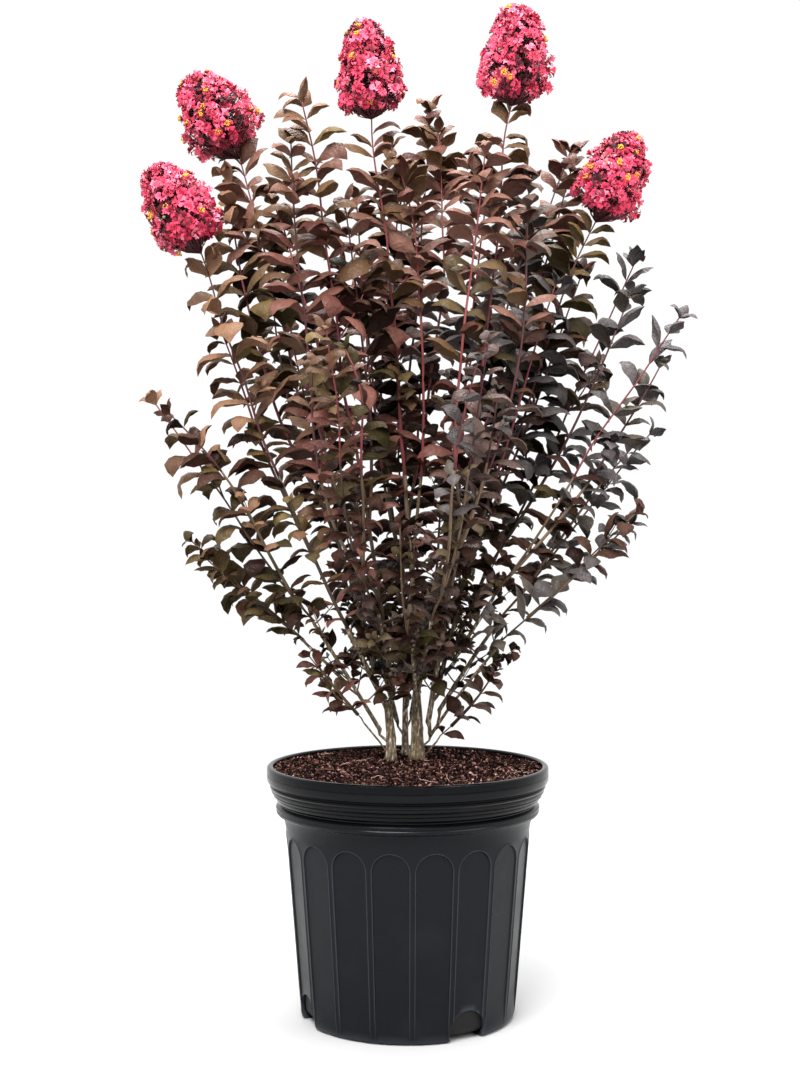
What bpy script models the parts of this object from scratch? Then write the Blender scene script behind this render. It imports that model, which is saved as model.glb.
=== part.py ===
"""Potted crape myrtle: a many-stemmed flowering shrub in a fluted nursery pot.

Metres, +Z up. The origin is the centre of the pot's flat underside, and -Y is the front.
Canes rise from the potting mix, fork, and run up into plumes of foliage. Five of them
carry a flower panicle at the top.
"""

import math
from collections import namedtuple

import bmesh
import bpy
from mathutils import Vector, noise

COLLECTION = "potted_crape_myrtle"
CLEARANCE = 0.0003              # between solids that touch on the real plant

# Pot: blow-moulded, 10 3/4 inches across the rim
POT_HEIGHT = 0.2430
RIM_RADIUS = 0.1370
RIM_BAND = 0.0160               # depth of the thick band at the top
LIP_WIDTH = 0.0060
LIP_LEAN = 0.0022
GROOVE_DEPTH = 0.0012           # groove that parts the band from the neck
GROOVE_Z = 0.0016               # under the band: its deepest line and its foot
GROOVE_FOOT_Z = 0.0038
NECK_RADIUS = 0.1290            # stepped neck under the band
NECK_Z = 0.2135
NECK_SHOULDER = (0.0032, 0.0040)       # out and up from the neck
NECK_WAIST = 0.0030             # how far the neck draws in towards the bead
NECK_WALL = 0.0062              # thickness of the stepped wall at the neck
BEAD_RADIUS = 0.1276            # bead under the neck
BEAD_Z = 0.1993
BEAD_HEIGHT = 0.0072
BEAD_ROUND = 0.0026
COVE = (0.0034, 0.0030)         # hollow under the bead: in from the neck, down from the bead
WALL_TOP_RADIUS = 0.1185        # fluted wall, top and bottom
WALL_TOP_Z = 0.1810
BASE_RADIUS = 0.1040
BASE_ROUND = 0.0055
SHELL = 0.0032
POT_SEGMENTS = 48

FLUTES = 18
FLUTE_OFFSET = math.radians(-8.0)      # from the front, towards +X
FLUTE_HALF_ANGLE = math.radians(8.7)
FLUTE_STEP = 0.0005             # how far a flute's edge is sunk into the wall
FLUTE_ARCH_SIDES = 6
FLUTE_CUTTER_DEPTH = 0.012
FLUTE_CUTTER_BELOW = 0.004      # how far the cutter passes the pot's underside
DRAIN_FLUTES = (2, 6, 11, 15)   # flutes that end in a drainage notch
DRAIN_RADIUS = 0.0172
DRAIN_CENTRE_Z = 0.0080
DRAIN_REACH = 0.0170            # to each side of the wall
DRAIN_SIDES = 20

# Potting mix
MIX_EDGE_Z = 0.2402
MIX_TOP_Z = 0.2442
MIX_FLAT_RADIUS = 0.060         # level patch that the canes stand on
MIX_CROWN = 0.0004              # how far the slope to the rim bulges
MIX_NECK_GAP = 0.0036           # between the mix and the shell at the neck

# Canes
CANE_TIP_RADIUS = 0.0012
CANE_STEP = 0.030               # height between two points of a cane's curve
LEAN_STEP = 0.001               # height over which a cane's lean is measured
FEWEST_CANE_STEPS = 3
FORK_GAP = 0.0001               # on top of what the faceted canes leave between them
CANE_END = 0.0025               # short upright length at a cut or where foliage starts
FLARE = 0.40                    # root flare, as a share of the cane's radius
FLARE_HEIGHT = 0.010

# Foliage
PLUME_SIDES = 11
PLUME_LEVEL = 0.060             # heights at which all plumes have a section
FEWEST_SECTIONS = 3             # a short plume halves the spacing until it has these
END_MARGIN = 0.3                # of the spacing, between an end and the next section
PLUME_GAP = 0.0050              # between neighbouring plumes
LEAST_FACING = 0.05             # a neighbour further round than this isn't in the way
LEAST_REACH = 0.003
FOOT_GIRTH = 0.45               # of the spread, where the foliage starts
SWELL = 0.3                     # share of a plume's height over which it fills out
TIP_GIRTH = 0.16                # of the spread, at a leafy tip
COLLAR_GIRTH = 0.42             # of the spread, where a panicle stands on the tip
PLUME_UNEVEN = 0.34
PLUME_GRAIN = 28                # scale of the unevenness, per metre
PANICLE_LENGTH = 0.094
PANICLE_RADIUS = 0.0375
PANICLE_GIRTH = (1.10, 0.68)    # of its radius, at the bottom and the top
PANICLE_SEGMENTS = 10
PANICLE_RINGS = 7
PANICLE_UNEVEN = 0.0030
PANICLE_GRAIN = 2.5

# tip: where the foliage ends. sweep: 0 is straight, over 0 leans late, under 0 leans early.
# leaf_z: where foliage starts. spread: reach of the foliage around the cane.
Shoot = namedtuple("Shoot", "name parent fork_z thickness tip sweep leaf_z spread head")

# x and y on the mix, and how far the trunk stands upright before it leans
TRUNKS = {
    "trunk_left": (-0.0165, 0.0220, 0.045),
    "trunk_centre": (0.0095, 0.0220, 0),
    "trunk_back": (-0.0020, 0.0520, 0),
}

SHOOTS = (
    Shoot("trunk_left", None, 0, 0.0062, (-0.199, -0.030, 0.739), -0.30, 0.375, 0.042, (-0.46, 0)),
    Shoot("trunk_centre", None, 0, 0.0085, (-0.036, -0.030, 0.867), 1.05, 0.375, 0.054, (-0.04, 0)),
    Shoot("trunk_back", None, 0, 0.0062, (-0.008, 0.205, 0.850), 0.10, 0.400, 0.072, None),
    Shoot("left_inner", "trunk_left", 0.306, 0.0050, (-0.098, -0.095, 0.868), 0.10, 0.380, 0.058, None),
    Shoot("left_top", "trunk_left", 0.335, 0.0040, (-0.170, 0.050, 0.847), -0.05, 0.430, 0.056, (-0.50, 0)),
    Shoot("left_low", "trunk_left", 0.270, 0.0034, (-0.243, -0.030, 0.594), 0.15, 0.385, 0.040, None),
    Shoot("left_skirt", "left_low", 0.318, 0.0026, (-0.219, 0.040, 0.462), 0.10, 0.365, 0.033, None),
    Shoot("left_foot", "trunk_left", 0.257, 0.0014, (-0.098, -0.020, 0.352), 0.0, 0.288, 0.022, None),
    Shoot("front_left", "left_inner", 0.345, 0.0032, (-0.072, -0.205, 0.645), -0.10, 0.392, 0.062, None),
    Shoot("front_low", "trunk_centre", 0.300, 0.0028, (-0.008, -0.170, 0.480), 0.20, 0.360, 0.054, None),
    Shoot("front_right", "trunk_centre", 0.320, 0.0034, (0.068, -0.200, 0.634), 0.10, 0.385, 0.062, None),
    Shoot("right_inner", "trunk_centre", 0.278, 0.0052, (0.098, -0.060, 0.872), -0.20, 0.380, 0.060, (0.04, 0)),
    Shoot("right_high", "right_inner", 0.312, 0.0044, (0.186, 0.020, 0.778), 0.30, 0.385, 0.054, (0.38, 0)),
    Shoot("right_far", "right_high", 0.340, 0.0034, (0.262, -0.030, 0.677), 0.05, 0.410, 0.038, None),
    Shoot("right_low", "right_inner", 0.290, 0.0036, (0.248, 0.055, 0.570), 0.20, 0.380, 0.038, None),
    Shoot("right_skirt", "trunk_centre", 0.264, 0.0026, (0.217, -0.060, 0.490), 0.30, 0.365, 0.036, None),
    Shoot("right_back", "right_high", 0.360, 0.0034, (0.234, 0.075, 0.747), 0.10, 0.430, 0.050, None),
    Shoot("right_foot", "trunk_centre", 0.252, 0.0014, (0.086, -0.020, 0.338), -0.10, 0.270, 0.026, None),
    Shoot("centre_back", "trunk_back", 0.300, 0.0046, (0.023, 0.095, 0.906), 0.20, 0.400, 0.060, None),
    Shoot("right_top", "centre_back", 0.352, 0.0036, (0.166, 0.085, 0.860), 0.10, 0.430, 0.054, None),
    Shoot("back_left", "trunk_back", 0.285, 0.0042, (-0.150, 0.165, 0.792), -0.05, 0.400, 0.064, None),
    Shoot("back_right", "trunk_back", 0.292, 0.0042, (0.120, 0.185, 0.800), -0.05, 0.400, 0.064, None),
    Shoot("back_low_left", "trunk_back", 0.272, 0.0030, (-0.095, 0.225, 0.570), 0.15, 0.375, 0.060, None),
    Shoot("back_low_right", "trunk_back", 0.279, 0.0030, (0.062, 0.238, 0.582), 0.15, 0.375, 0.060, None),
)


def clear_scene():
    for obj in list(bpy.data.objects):
        bpy.data.objects.remove(obj, do_unlink=True)


def new_collection(name, hidden=False):
    collection = bpy.data.collections.new(name)
    bpy.context.scene.collection.children.link(collection)
    collection.hide_render = hidden
    return collection


def new_material(name, colour, roughness, metallic=0.0):
    material = bpy.data.materials.new(name)
    material.use_nodes = True
    shader = material.node_tree.nodes["Principled BSDF"]
    shader.inputs["Base Color"].default_value = (*colour, 1)
    shader.inputs["Roughness"].default_value = roughness
    shader.inputs["Metallic"].default_value = metallic
    material.diffuse_color = (*colour, 1)
    return material


def new_object(name, data, collection, material=None):
    obj = bpy.data.objects.new(name, data)
    collection.objects.link(obj)
    if material:
        data.materials.append(material)
    return obj


def arc(centre, radius, start, end, count):
    """Points of a profile along an arc, angles in degrees from +r towards +z."""
    points = []
    for step in range(count + 1):
        angle = math.radians(start + (end - start) * step / count)
        points.append((centre[0] + radius * math.cos(angle), centre[1] + radius * math.sin(angle)))
    return points


def turned(name, profile, segments, collection, material):
    """A solid turned about Z from (radius, z) points that run down its outer side."""
    mesh = bpy.data.meshes.new(name)
    points = [(radius, 0, z) for radius, z in profile]
    mesh.from_pydata(points, [(i, i + 1) for i in range(len(points) - 1)], [])
    obj = new_object(name, mesh, collection, material)
    screw = obj.modifiers.new("Screw", "SCREW")
    screw.steps = screw.render_steps = segments
    screw.use_merge_vertices = True
    screw.merge_threshold = 0.0001
    screw.use_smooth_shade = True
    return obj


# ---------------------------------------------------------------- pot and mix

def wall_radius(z):
    """Outer radius of the tapering fluted wall."""
    slope = (WALL_TOP_RADIUS - BASE_RADIUS) / WALL_TOP_Z
    return BASE_RADIUS + slope * z


def flute_cutter(collection):
    """A slab with an arched top whose inner face is one flute's flat."""
    half_top = WALL_TOP_RADIUS * math.sin(FLUTE_HALF_ANGLE)
    half_bottom = BASE_RADIUS * math.sin(FLUTE_HALF_ANGLE)
    outline = [(-half_bottom, -FLUTE_CUTTER_BELOW), (half_bottom, -FLUTE_CUTTER_BELOW)]
    outline += arc((0, WALL_TOP_Z - half_top), half_top, 0, 180, FLUTE_ARCH_SIDES)
    curve = bpy.data.curves.new("flute_outline", "CURVE")
    curve.dimensions = "2D"
    curve.fill_mode = "BOTH"
    curve.extrude = FLUTE_CUTTER_DEPTH / 2
    spline = curve.splines.new("POLY")
    spline.points.add(len(outline) - 1)
    for point, (x, z) in zip(spline.points, outline):
        point.co = (x, z, 0, 1)
    spline.use_cyclic_u = True
    flat = new_object("flute_outline", curve, collection)
    graph = bpy.context.evaluated_depsgraph_get()
    mesh = bpy.data.meshes.new_from_object(flat.evaluated_get(graph))
    bpy.data.objects.remove(flat)
    shape = bmesh.new()
    shape.from_mesh(mesh)
    bmesh.ops.remove_doubles(shape, verts=shape.verts, dist=0.00001)
    inner = math.cos(FLUTE_HALF_ANGLE)
    for vertex in shape.verts:
        across, height, depth = vertex.co
        flat_radius = wall_radius(height) * inner - FLUTE_STEP
        vertex.co = (across, -(flat_radius + FLUTE_CUTTER_DEPTH / 2 + depth), height)
    bmesh.ops.recalc_face_normals(shape, faces=shape.faces)
    shape.to_mesh(mesh)
    shape.free()
    return mesh


def drain_cutter():
    """A short round bar, lying along -Y, that scoops a notch from the bottom edge."""
    shape = bmesh.new()
    bmesh.ops.create_cone(shape, cap_ends=True, segments=DRAIN_SIDES, radius1=DRAIN_RADIUS,
                          radius2=DRAIN_RADIUS, depth=2 * DRAIN_REACH)
    for vertex in shape.verts:
        x, y, along = vertex.co
        vertex.co = (x, along - BASE_RADIUS, y + DRAIN_CENTRE_Z)
    bmesh.ops.recalc_face_normals(shape, faces=shape.faces)
    mesh = bpy.data.meshes.new("drain_cutter")
    shape.to_mesh(mesh)
    shape.free()
    return mesh


def add_cutter(name, mesh, angle, collection):
    cutter = new_object(name, mesh, collection)
    cutter.rotation_euler.z = angle
    cutter.hide_render = True
    cutter.display_type = "WIRE"
    return cutter


def pot(collection, cutters):
    plastic = new_material("blow_moulded_polythene", (0.012, 0.014, 0.018), 0.42)
    floor = SHELL
    lip = RIM_RADIUS - LIP_WIDTH
    band_bottom = POT_HEIGHT - RIM_BAND
    bead_top = BEAD_Z + BEAD_HEIGHT / 2
    bead_bottom = BEAD_Z - BEAD_HEIGHT / 2
    inner = [
        (0, floor),
        (wall_radius(floor) - SHELL - BASE_ROUND / 2, floor),
        (wall_radius(floor + BASE_ROUND / 2) - SHELL, floor + BASE_ROUND / 2),
        (wall_radius(WALL_TOP_Z) - SHELL, WALL_TOP_Z),
        (NECK_RADIUS - NECK_WALL, NECK_Z),
        (lip - LIP_LEAN, band_bottom),
        (lip, POT_HEIGHT),
    ]
    outer = arc((RIM_RADIUS - LIP_LEAN, POT_HEIGHT - LIP_LEAN), LIP_LEAN, 90, 0, 2)
    outer += [
        (RIM_RADIUS, band_bottom),
        (RIM_RADIUS - GROOVE_DEPTH, band_bottom - GROOVE_Z),
        (RIM_RADIUS - GROOVE_DEPTH / 2, band_bottom - GROOVE_FOOT_Z),
        (NECK_RADIUS + NECK_SHOULDER[0], NECK_Z + NECK_SHOULDER[1]),
        (NECK_RADIUS, NECK_Z),
        (NECK_RADIUS - NECK_WAIST, bead_top),
    ]
    outer += arc((BEAD_RADIUS - BEAD_ROUND, BEAD_Z), BEAD_ROUND, 60, -60, 2)
    outer += [
        (NECK_RADIUS - COVE[0], bead_bottom - COVE[1]),
        (WALL_TOP_RADIUS, WALL_TOP_Z),
        (wall_radius(BASE_ROUND), BASE_ROUND),
    ]
    outer += arc((BASE_RADIUS - BASE_ROUND, BASE_ROUND), BASE_ROUND, -45, -90, 1)
    body = turned("pot", inner + outer + [(0, 0)], POT_SEGMENTS, collection, plastic)

    flute = flute_cutter(cutters)
    drain = drain_cutter()
    for index in range(FLUTES):
        angle = FLUTE_OFFSET + index * math.tau / FLUTES
        slabs = [add_cutter(f"flute_cutter_{index:02d}", flute, angle, cutters)]
        if index in DRAIN_FLUTES:
            slabs.append(add_cutter(f"drain_cutter_{index:02d}", drain, angle, cutters))
        for slab in slabs:
            cut = body.modifiers.new(slab.name, "BOOLEAN")
            cut.operation = "DIFFERENCE"
            cut.object = slab
            cut.solver = "EXACT"
    return body


def potting_mix(collection):
    bark_fines = new_material("composted_bark_mix", (0.060, 0.038, 0.034), 0.95)
    bottom = SHELL + CLEARANCE
    wall = SHELL + 2 * CLEARANCE
    foot = wall_radius(bottom) - wall - BASE_ROUND / 2
    edge = RIM_RADIUS - LIP_WIDTH - LIP_LEAN
    profile = [
        (0, MIX_TOP_Z),
        (MIX_FLAT_RADIUS, MIX_TOP_Z),
        ((MIX_FLAT_RADIUS + edge) / 2, (MIX_TOP_Z + MIX_EDGE_Z) / 2 + MIX_CROWN),
        (edge - CLEARANCE, MIX_EDGE_Z),
        (edge - 3 * CLEARANCE, POT_HEIGHT - RIM_BAND),
        (NECK_RADIUS - wall - MIX_NECK_GAP, NECK_Z),
        (wall_radius(WALL_TOP_Z) - wall, WALL_TOP_Z),
        (wall_radius(bottom + BASE_ROUND) - wall, bottom + BASE_ROUND),
        (foot, bottom),
        (0, bottom),
    ]
    return turned("potting_mix", profile, POT_SEGMENTS // 2, collection, bark_fines)


# ---------------------------------------------------------------- canes

def lean_at_start(shoot, start):
    """Horizontal travel of a shoot for each metre of height, where it starts."""
    tip = Vector(shoot.tip)
    share = 1 - shoot.sweep
    return Vector((tip.x - start.x, tip.y - start.y)) * share / (tip.z - start.z)


def find_starts():
    """Where each shoot's centreline starts: on the mix, or at the side of its parent."""
    starts = {}
    for shoot in SHOOTS:
        if shoot.parent is None:
            starts[shoot.name] = Vector((*TRUNKS[shoot.name][:2], MIX_TOP_Z + CLEARANCE))
            continue
        parent = BY_NAME[shoot.parent]
        fork = centreline(parent, shoot.fork_z, starts)
        above = centreline(parent, shoot.fork_z + LEAN_STEP, starts)
        parent_lean = Vector((above.x - fork.x, above.y - fork.y)) / LEAN_STEP
        lean = lean_at_start(shoot, fork)
        away = (lean - parent_lean).normalized()
        parent_tilt = math.atan(parent_lean.dot(away))
        splay = math.atan(lean.dot(away)) - parent_tilt
        apart = cane_radius(parent, shoot.fork_z, starts) + shoot.thickness * math.cos(splay)
        offset = (apart + FORK_GAP) / math.cos(parent_tilt)
        starts[shoot.name] = fork + Vector((away.x * offset, away.y * offset, 0))
    return starts


def centreline(shoot, z, starts):
    """A shoot's centre at height z. It bends by its sweep on the way to the tip."""
    start = starts[shoot.name]
    tip = Vector(shoot.tip)
    lean_z = start.z + (TRUNKS[shoot.name][2] if shoot.parent is None else 0)
    run = min(max((z - lean_z) / (tip.z - lean_z), 0), 1)
    lean = (1 - shoot.sweep) * run + shoot.sweep * run * run
    return Vector((start.x + (tip.x - start.x) * lean, start.y + (tip.y - start.y) * lean, z))


def cane_radius(shoot, z, starts):
    start = starts[shoot.name]
    run = min(max((z - start.z) / (shoot.tip[2] - start.z), 0), 1)
    radius = shoot.thickness + (CANE_TIP_RADIUS - shoot.thickness) * run
    if shoot.parent is None:
        radius *= 1 + FLARE * math.exp(-(z - start.z) / FLARE_HEIGHT)
    return radius


def cane(shoot, starts, collection, material):
    """The bare length of a shoot: a tapering limb from its foot or fork to its foliage."""
    start = starts[shoot.name]
    end_z = shoot.leaf_z - CLEARANCE
    points = [start]
    low_z = start.z
    if shoot.parent is None:
        points.append(start + Vector((0, 0, CANE_END)))
        for rise in (FLARE_HEIGHT, 2.5 * FLARE_HEIGHT):
            low_z = start.z + rise
            points.append(centreline(shoot, low_z, starts))
    count = max(FEWEST_CANE_STEPS, round((end_z - low_z) / CANE_STEP))
    for step in range(1, count):
        z = low_z + (end_z - CANE_END - low_z) * step / count
        points.append(centreline(shoot, z, starts))
    top = centreline(shoot, end_z - CANE_END, starts)
    points += [top, Vector((top.x, top.y, end_z))]

    curve = bpy.data.curves.new(shoot.name, "CURVE")
    curve.dimensions = "3D"
    curve.bevel_depth = shoot.thickness
    curve.bevel_resolution = 3 if shoot.parent is None else 2
    curve.use_fill_caps = True
    spline = curve.splines.new("POLY")
    spline.points.add(len(points) - 1)
    for point, place in zip(spline.points, points):
        point.co = (*(place - start), 1)
        point.radius = cane_radius(shoot, place.z, starts) / shoot.thickness
    spline.use_smooth = True
    limb = new_object(shoot.name if shoot.parent is None else f"bough_{shoot.name}",
                      curve, collection, material)
    limb.location = start
    return limb


# ---------------------------------------------------------------- foliage

def head_centre(shoot, z):
    """Centre of a shoot's panicle at height z, along the panicle's own lean."""
    tip = Vector(shoot.tip)
    return Vector((tip.x + shoot.head[0] * (z - tip.z), tip.y + shoot.head[1] * (z - tip.z), z))


def in_the_way(other, z, starts):
    """Whether another shoot has anything at height z, or ended only just under it."""
    above = PLUME_LEVEL if other.head is None else PANICLE_LENGTH
    return starts[other.name].z <= z <= other.tip[2] + above


def neighbour_share(shoot, other, z, centre, starts):
    """The way from a shoot to a neighbour at height z, and how much of it is the shoot's."""
    if other.head is not None and z > other.tip[2]:
        apart = head_centre(other, z) - centre
        return apart, apart.length - PANICLE_RADIUS - PLUME_GAP
    apart = centreline(other, z, starts) - centre
    weight = shoot.spread / (shoot.spread + other.spread)
    return apart, apart.length * weight - PLUME_GAP / 2


def room(shoot, z, direction, starts):
    """How far a plume may reach from its cane before it meets a neighbour's share."""
    centre = centreline(shoot, z, starts)
    reach = math.inf
    for other in SHOOTS:
        if other is shoot or not in_the_way(other, z, starts):
            continue
        apart, share = neighbour_share(shoot, other, z, centre, starts)
        facing = direction.dot(apart.normalized())
        if facing > LEAST_FACING:
            reach = min(reach, share / facing)
    return reach


def plume_profile(run, blunt):
    """Girth of a plume along its height, 0 at the bottom to 1 at the tip."""
    swell = FOOT_GIRTH + (1 - FOOT_GIRTH) * min(1, run / SWELL) ** 0.7
    taper = blunt + (1 - blunt) * math.sqrt(1 - run ** 3)
    return swell * taper


def plume_levels(shoot):
    """Heights of a plume's sections: its ends, and the shared levels between them."""
    bottom = shoot.leaf_z
    top = shoot.tip[2]
    spacing = PLUME_LEVEL
    while top - bottom < FEWEST_SECTIONS * spacing:
        spacing /= 2
    first = math.ceil((bottom + END_MARGIN * spacing) / spacing)
    last = math.floor((top - END_MARGIN * spacing) / spacing)
    return [bottom] + [step * spacing for step in range(first, last + 1)] + [top]


def plume(shoot, starts, seed, collection, material):
    """One closed, uneven mass of foliage round a cane, lofted through level sections."""
    shape = bmesh.new()
    rings = []
    bottom = shoot.leaf_z
    height = shoot.tip[2] - bottom
    blunt = TIP_GIRTH if shoot.head is None else COLLAR_GIRTH
    for z in plume_levels(shoot):
        centre = centreline(shoot, z, starts)
        girth = shoot.spread * plume_profile((z - bottom) / height, blunt)
        ring = []
        for side in range(PLUME_SIDES):
            angle = math.tau * side / PLUME_SIDES
            direction = Vector((math.cos(angle), math.sin(angle), 0))
            place = centre + girth * direction
            uneven = 1 + PLUME_UNEVEN * noise.noise(place * PLUME_GRAIN + Vector((seed, 0, 0)))
            reach = min(girth * uneven, room(shoot, z, direction, starts))
            ring.append(shape.verts.new(centre + direction * max(reach, LEAST_REACH)))
        rings.append(ring)
    for lower, upper in zip(rings, rings[1:]):
        for side in range(PLUME_SIDES):
            following = (side + 1) % PLUME_SIDES
            shape.faces.new((lower[side], lower[following], upper[following], upper[side]))
    shape.faces.new(reversed(rings[0]))
    shape.faces.new(rings[-1])
    mesh = bpy.data.meshes.new(shoot.name)
    shape.to_mesh(mesh)
    shape.free()
    mesh.shade_smooth()
    return new_object(f"foliage_{plain_name(shoot)}", mesh, collection, material)


def plain_name(shoot):
    return shoot.name.replace("trunk_left", "left_high").replace("trunk_", "")


def panicle(shoot, seed, collection, material):
    """An uneven, egg-shaped flower head standing on the tip of its shoot."""
    shape = bmesh.new()
    bmesh.ops.create_uvsphere(shape, u_segments=PANICLE_SEGMENTS, v_segments=PANICLE_RINGS,
                              radius=1)
    axis = Vector((shoot.head[0], shoot.head[1], 1)).normalized()
    turn = axis.to_track_quat("Z", "Y")
    for vertex in shape.verts:
        run = (vertex.co.z + 1) / 2
        girth = PANICLE_RADIUS * (PANICLE_GIRTH[0] * (1 - run) + PANICLE_GIRTH[1] * run)
        bump = PANICLE_UNEVEN * noise.noise(vertex.co * PANICLE_GRAIN + Vector((seed, 0, 0)))
        pole = abs(vertex.co.z) > 0.999
        side = Vector((vertex.co.x, vertex.co.y, 0))
        place = side * girth + side.normalized() * (0 if pole else bump)
        place.z = PANICLE_LENGTH * run
        vertex.co = turn @ place
    mesh = bpy.data.meshes.new(f"panicle_{plain_name(shoot)}")
    shape.to_mesh(mesh)
    shape.free()
    mesh.shade_smooth()
    head = new_object(f"panicle_{plain_name(shoot)}", mesh, collection, material)
    lowest = min(vertex.co.z for vertex in mesh.vertices)
    head.location = Vector(shoot.tip) + Vector((0, 0, CLEARANCE - lowest))
    return head


# ---------------------------------------------------------------- assembly

BY_NAME = {shoot.name: shoot for shoot in SHOOTS}


def main():
    clear_scene()
    parts = new_collection(COLLECTION)
    cutters = new_collection("cutters", hidden=True)
    bark = new_material("cane_bark", (0.30, 0.22, 0.14), 0.8)
    leaves = new_material("burgundy_foliage", (0.070, 0.030, 0.032), 0.55)
    blossom = new_material("coral_blossom", (0.72, 0.07, 0.13), 0.6)

    made = [pot(parts, cutters), potting_mix(parts)]
    starts = find_starts()
    for seed, shoot in enumerate(SHOOTS):
        made.append(cane(shoot, starts, parts, bark))
        made.append(plume(shoot, starts, seed, parts, leaves))
        if shoot.head is not None:
            made.append(panicle(shoot, seed, parts, blossom))

    plant = new_object(COLLECTION, None, parts)
    for obj in made:
        obj.parent = plant


main()
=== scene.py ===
import math
import random

import bmesh
import bpy
import numpy as np
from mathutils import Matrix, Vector, noise
from mathutils.bvhtree import BVHTree


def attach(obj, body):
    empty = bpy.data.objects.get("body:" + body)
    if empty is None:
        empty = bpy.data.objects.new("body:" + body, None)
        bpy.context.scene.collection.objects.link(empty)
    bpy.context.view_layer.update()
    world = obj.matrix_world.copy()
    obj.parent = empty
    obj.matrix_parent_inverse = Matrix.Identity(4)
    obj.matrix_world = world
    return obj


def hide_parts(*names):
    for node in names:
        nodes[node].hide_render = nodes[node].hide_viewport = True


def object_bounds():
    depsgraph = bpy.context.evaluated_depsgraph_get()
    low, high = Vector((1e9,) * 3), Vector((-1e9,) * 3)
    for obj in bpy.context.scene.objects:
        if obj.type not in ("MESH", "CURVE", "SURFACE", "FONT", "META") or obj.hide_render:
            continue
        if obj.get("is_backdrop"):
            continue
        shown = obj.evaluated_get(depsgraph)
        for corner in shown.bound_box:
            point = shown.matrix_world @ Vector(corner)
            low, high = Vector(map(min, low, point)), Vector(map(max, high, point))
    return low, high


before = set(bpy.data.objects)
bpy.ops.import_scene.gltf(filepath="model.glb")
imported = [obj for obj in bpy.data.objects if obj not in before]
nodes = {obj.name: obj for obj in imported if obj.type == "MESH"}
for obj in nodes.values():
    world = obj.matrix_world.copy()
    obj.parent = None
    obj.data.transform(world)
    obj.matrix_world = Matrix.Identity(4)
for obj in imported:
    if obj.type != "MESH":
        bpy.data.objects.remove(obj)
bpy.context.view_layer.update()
dice = random.Random(2611)
goldenAngle = 2.39996               # radians; it spreads shoots and florets evenly round a stem
origin = (0, 0, 0)


# Small helpers

def hexColour(code):
    channels = [int(code[i:i + 2], 16) / 255 for i in (1, 3, 5)]
    return tuple(c / 12.92 if c <= 0.04045 else ((c + 0.055) / 1.055) ** 2.4 for c in channels) + (1.0,)


def setNode(node, settings=None, links=None):
    # A link comes from a socket, or from the first output of a node.
    for key, value in (settings or {}).items():
        if isinstance(key, int) or key in node.inputs:
            node.inputs[key].default_value = value
        else:
            setattr(node, key, value)
    for key, source in (links or {}).items():
        socket = source if isinstance(source, bpy.types.NodeSocket) else source.outputs[0]
        node.id_data.links.new(socket, node.inputs[key])
    return node


def addNode(material, kind, settings=None, links=None):
    return setNode(material.node_tree.nodes.new("ShaderNode" + kind), settings, links)


def setRamp(ramp, stops):
    # Stops are positions and colours, from low to high.
    for element, (position, code) in zip(ramp.color_ramp.elements, (stops[0], stops[-1])):
        element.position, element.color = position, hexColour(code)
    for position, code in stops[1:-1]:
        ramp.color_ramp.elements.new(position).color = hexColour(code)
    return ramp


def newMaterial(name, colour, roughness, finish=None):
    material = bpy.data.materials.new(name)
    material.use_nodes = True
    shader = material.node_tree.nodes["Principled BSDF"]
    setNode(shader, {"Base Color": hexColour(colour), "Roughness": roughness, "IOR": 1.45})
    setNode(shader, finish)
    return material, shader, addNode(material, "TexCoord").outputs


def grainedSkin(name, colour, roughness, grain, bump, spread=None, finish=None):
    # A plain colour with a fine grain, which gives its relief and its uneven gloss.
    material, shader, coords = newMaterial(name, colour, roughness, finish)
    speckle = addNode(material, "TexNoise", grain, {"Vector": coords["Object"]})
    relief = addNode(material, "Bump", {"Strength": bump[0], "Distance": bump[1]}, {"Height": speckle})
    setNode(shader, links={"Normal": relief})
    if spread:
        gloss = addNode(material, "MapRange", {"To Min": spread[0], "To Max": spread[1]}, {"Value": speckle})
        setNode(shader, links={"Roughness": gloss})
    return material


def plainSkin(name, colour, roughness, grain, specular=0.4):
    return grainedSkin(name, colour, roughness, {"Scale": grain, "Detail": 3.0}, (0.4, 0.0003),
                       (roughness - 0.1, roughness + 0.12), {"Specular IOR Level": specular})


def addShape(addIt, **settings):
    bpy.ops.object.select_all(action="DESELECT")
    addIt(**settings)
    return bpy.context.object


def pickPoints(test):
    shape = bmesh.from_edit_mesh(bpy.context.object.data)
    for point in shape.verts:
        point.select_set(bool(test(point)))
    shape.select_flush_mode()
    bmesh.update_edit_mesh(bpy.context.object.data)


def pickOnly(piece):
    bpy.ops.object.select_all(action="DESELECT")
    piece.select_set(True)
    bpy.context.view_layer.objects.active = piece


def movePoints(test, step):
    pickPoints(test)
    bpy.ops.transform.translate(value=step)


def faceOutwards():
    bpy.ops.mesh.select_all(action="SELECT")
    bpy.ops.mesh.normals_make_consistent(inside=False)


def finishPiece(piece, replaced=()):
    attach(piece, "root")
    if replaced:
        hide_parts(*replaced)
    faces = sum(len(p.vertices) - 2 for p in piece.data.polygons)
    print("piece", piece.name, faces, "triangles")


# A pile gathers many small shapes, which become one mesh.

def newPile():
    return {"points": [], "corners": [], "sizes": [], "uvs": [], "slots": [], "count": 0}


def addToPile(pile, points, shape, slot):
    pile["points"].append(points)
    pile["corners"].append(shape["corners"] + pile["count"])
    pile["sizes"].append(shape["sizes"])
    pile["uvs"].append(shape["uvs"])
    pile["slots"].append(np.full(len(shape["sizes"]), slot, np.int32))
    pile["count"] += len(points)


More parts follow.
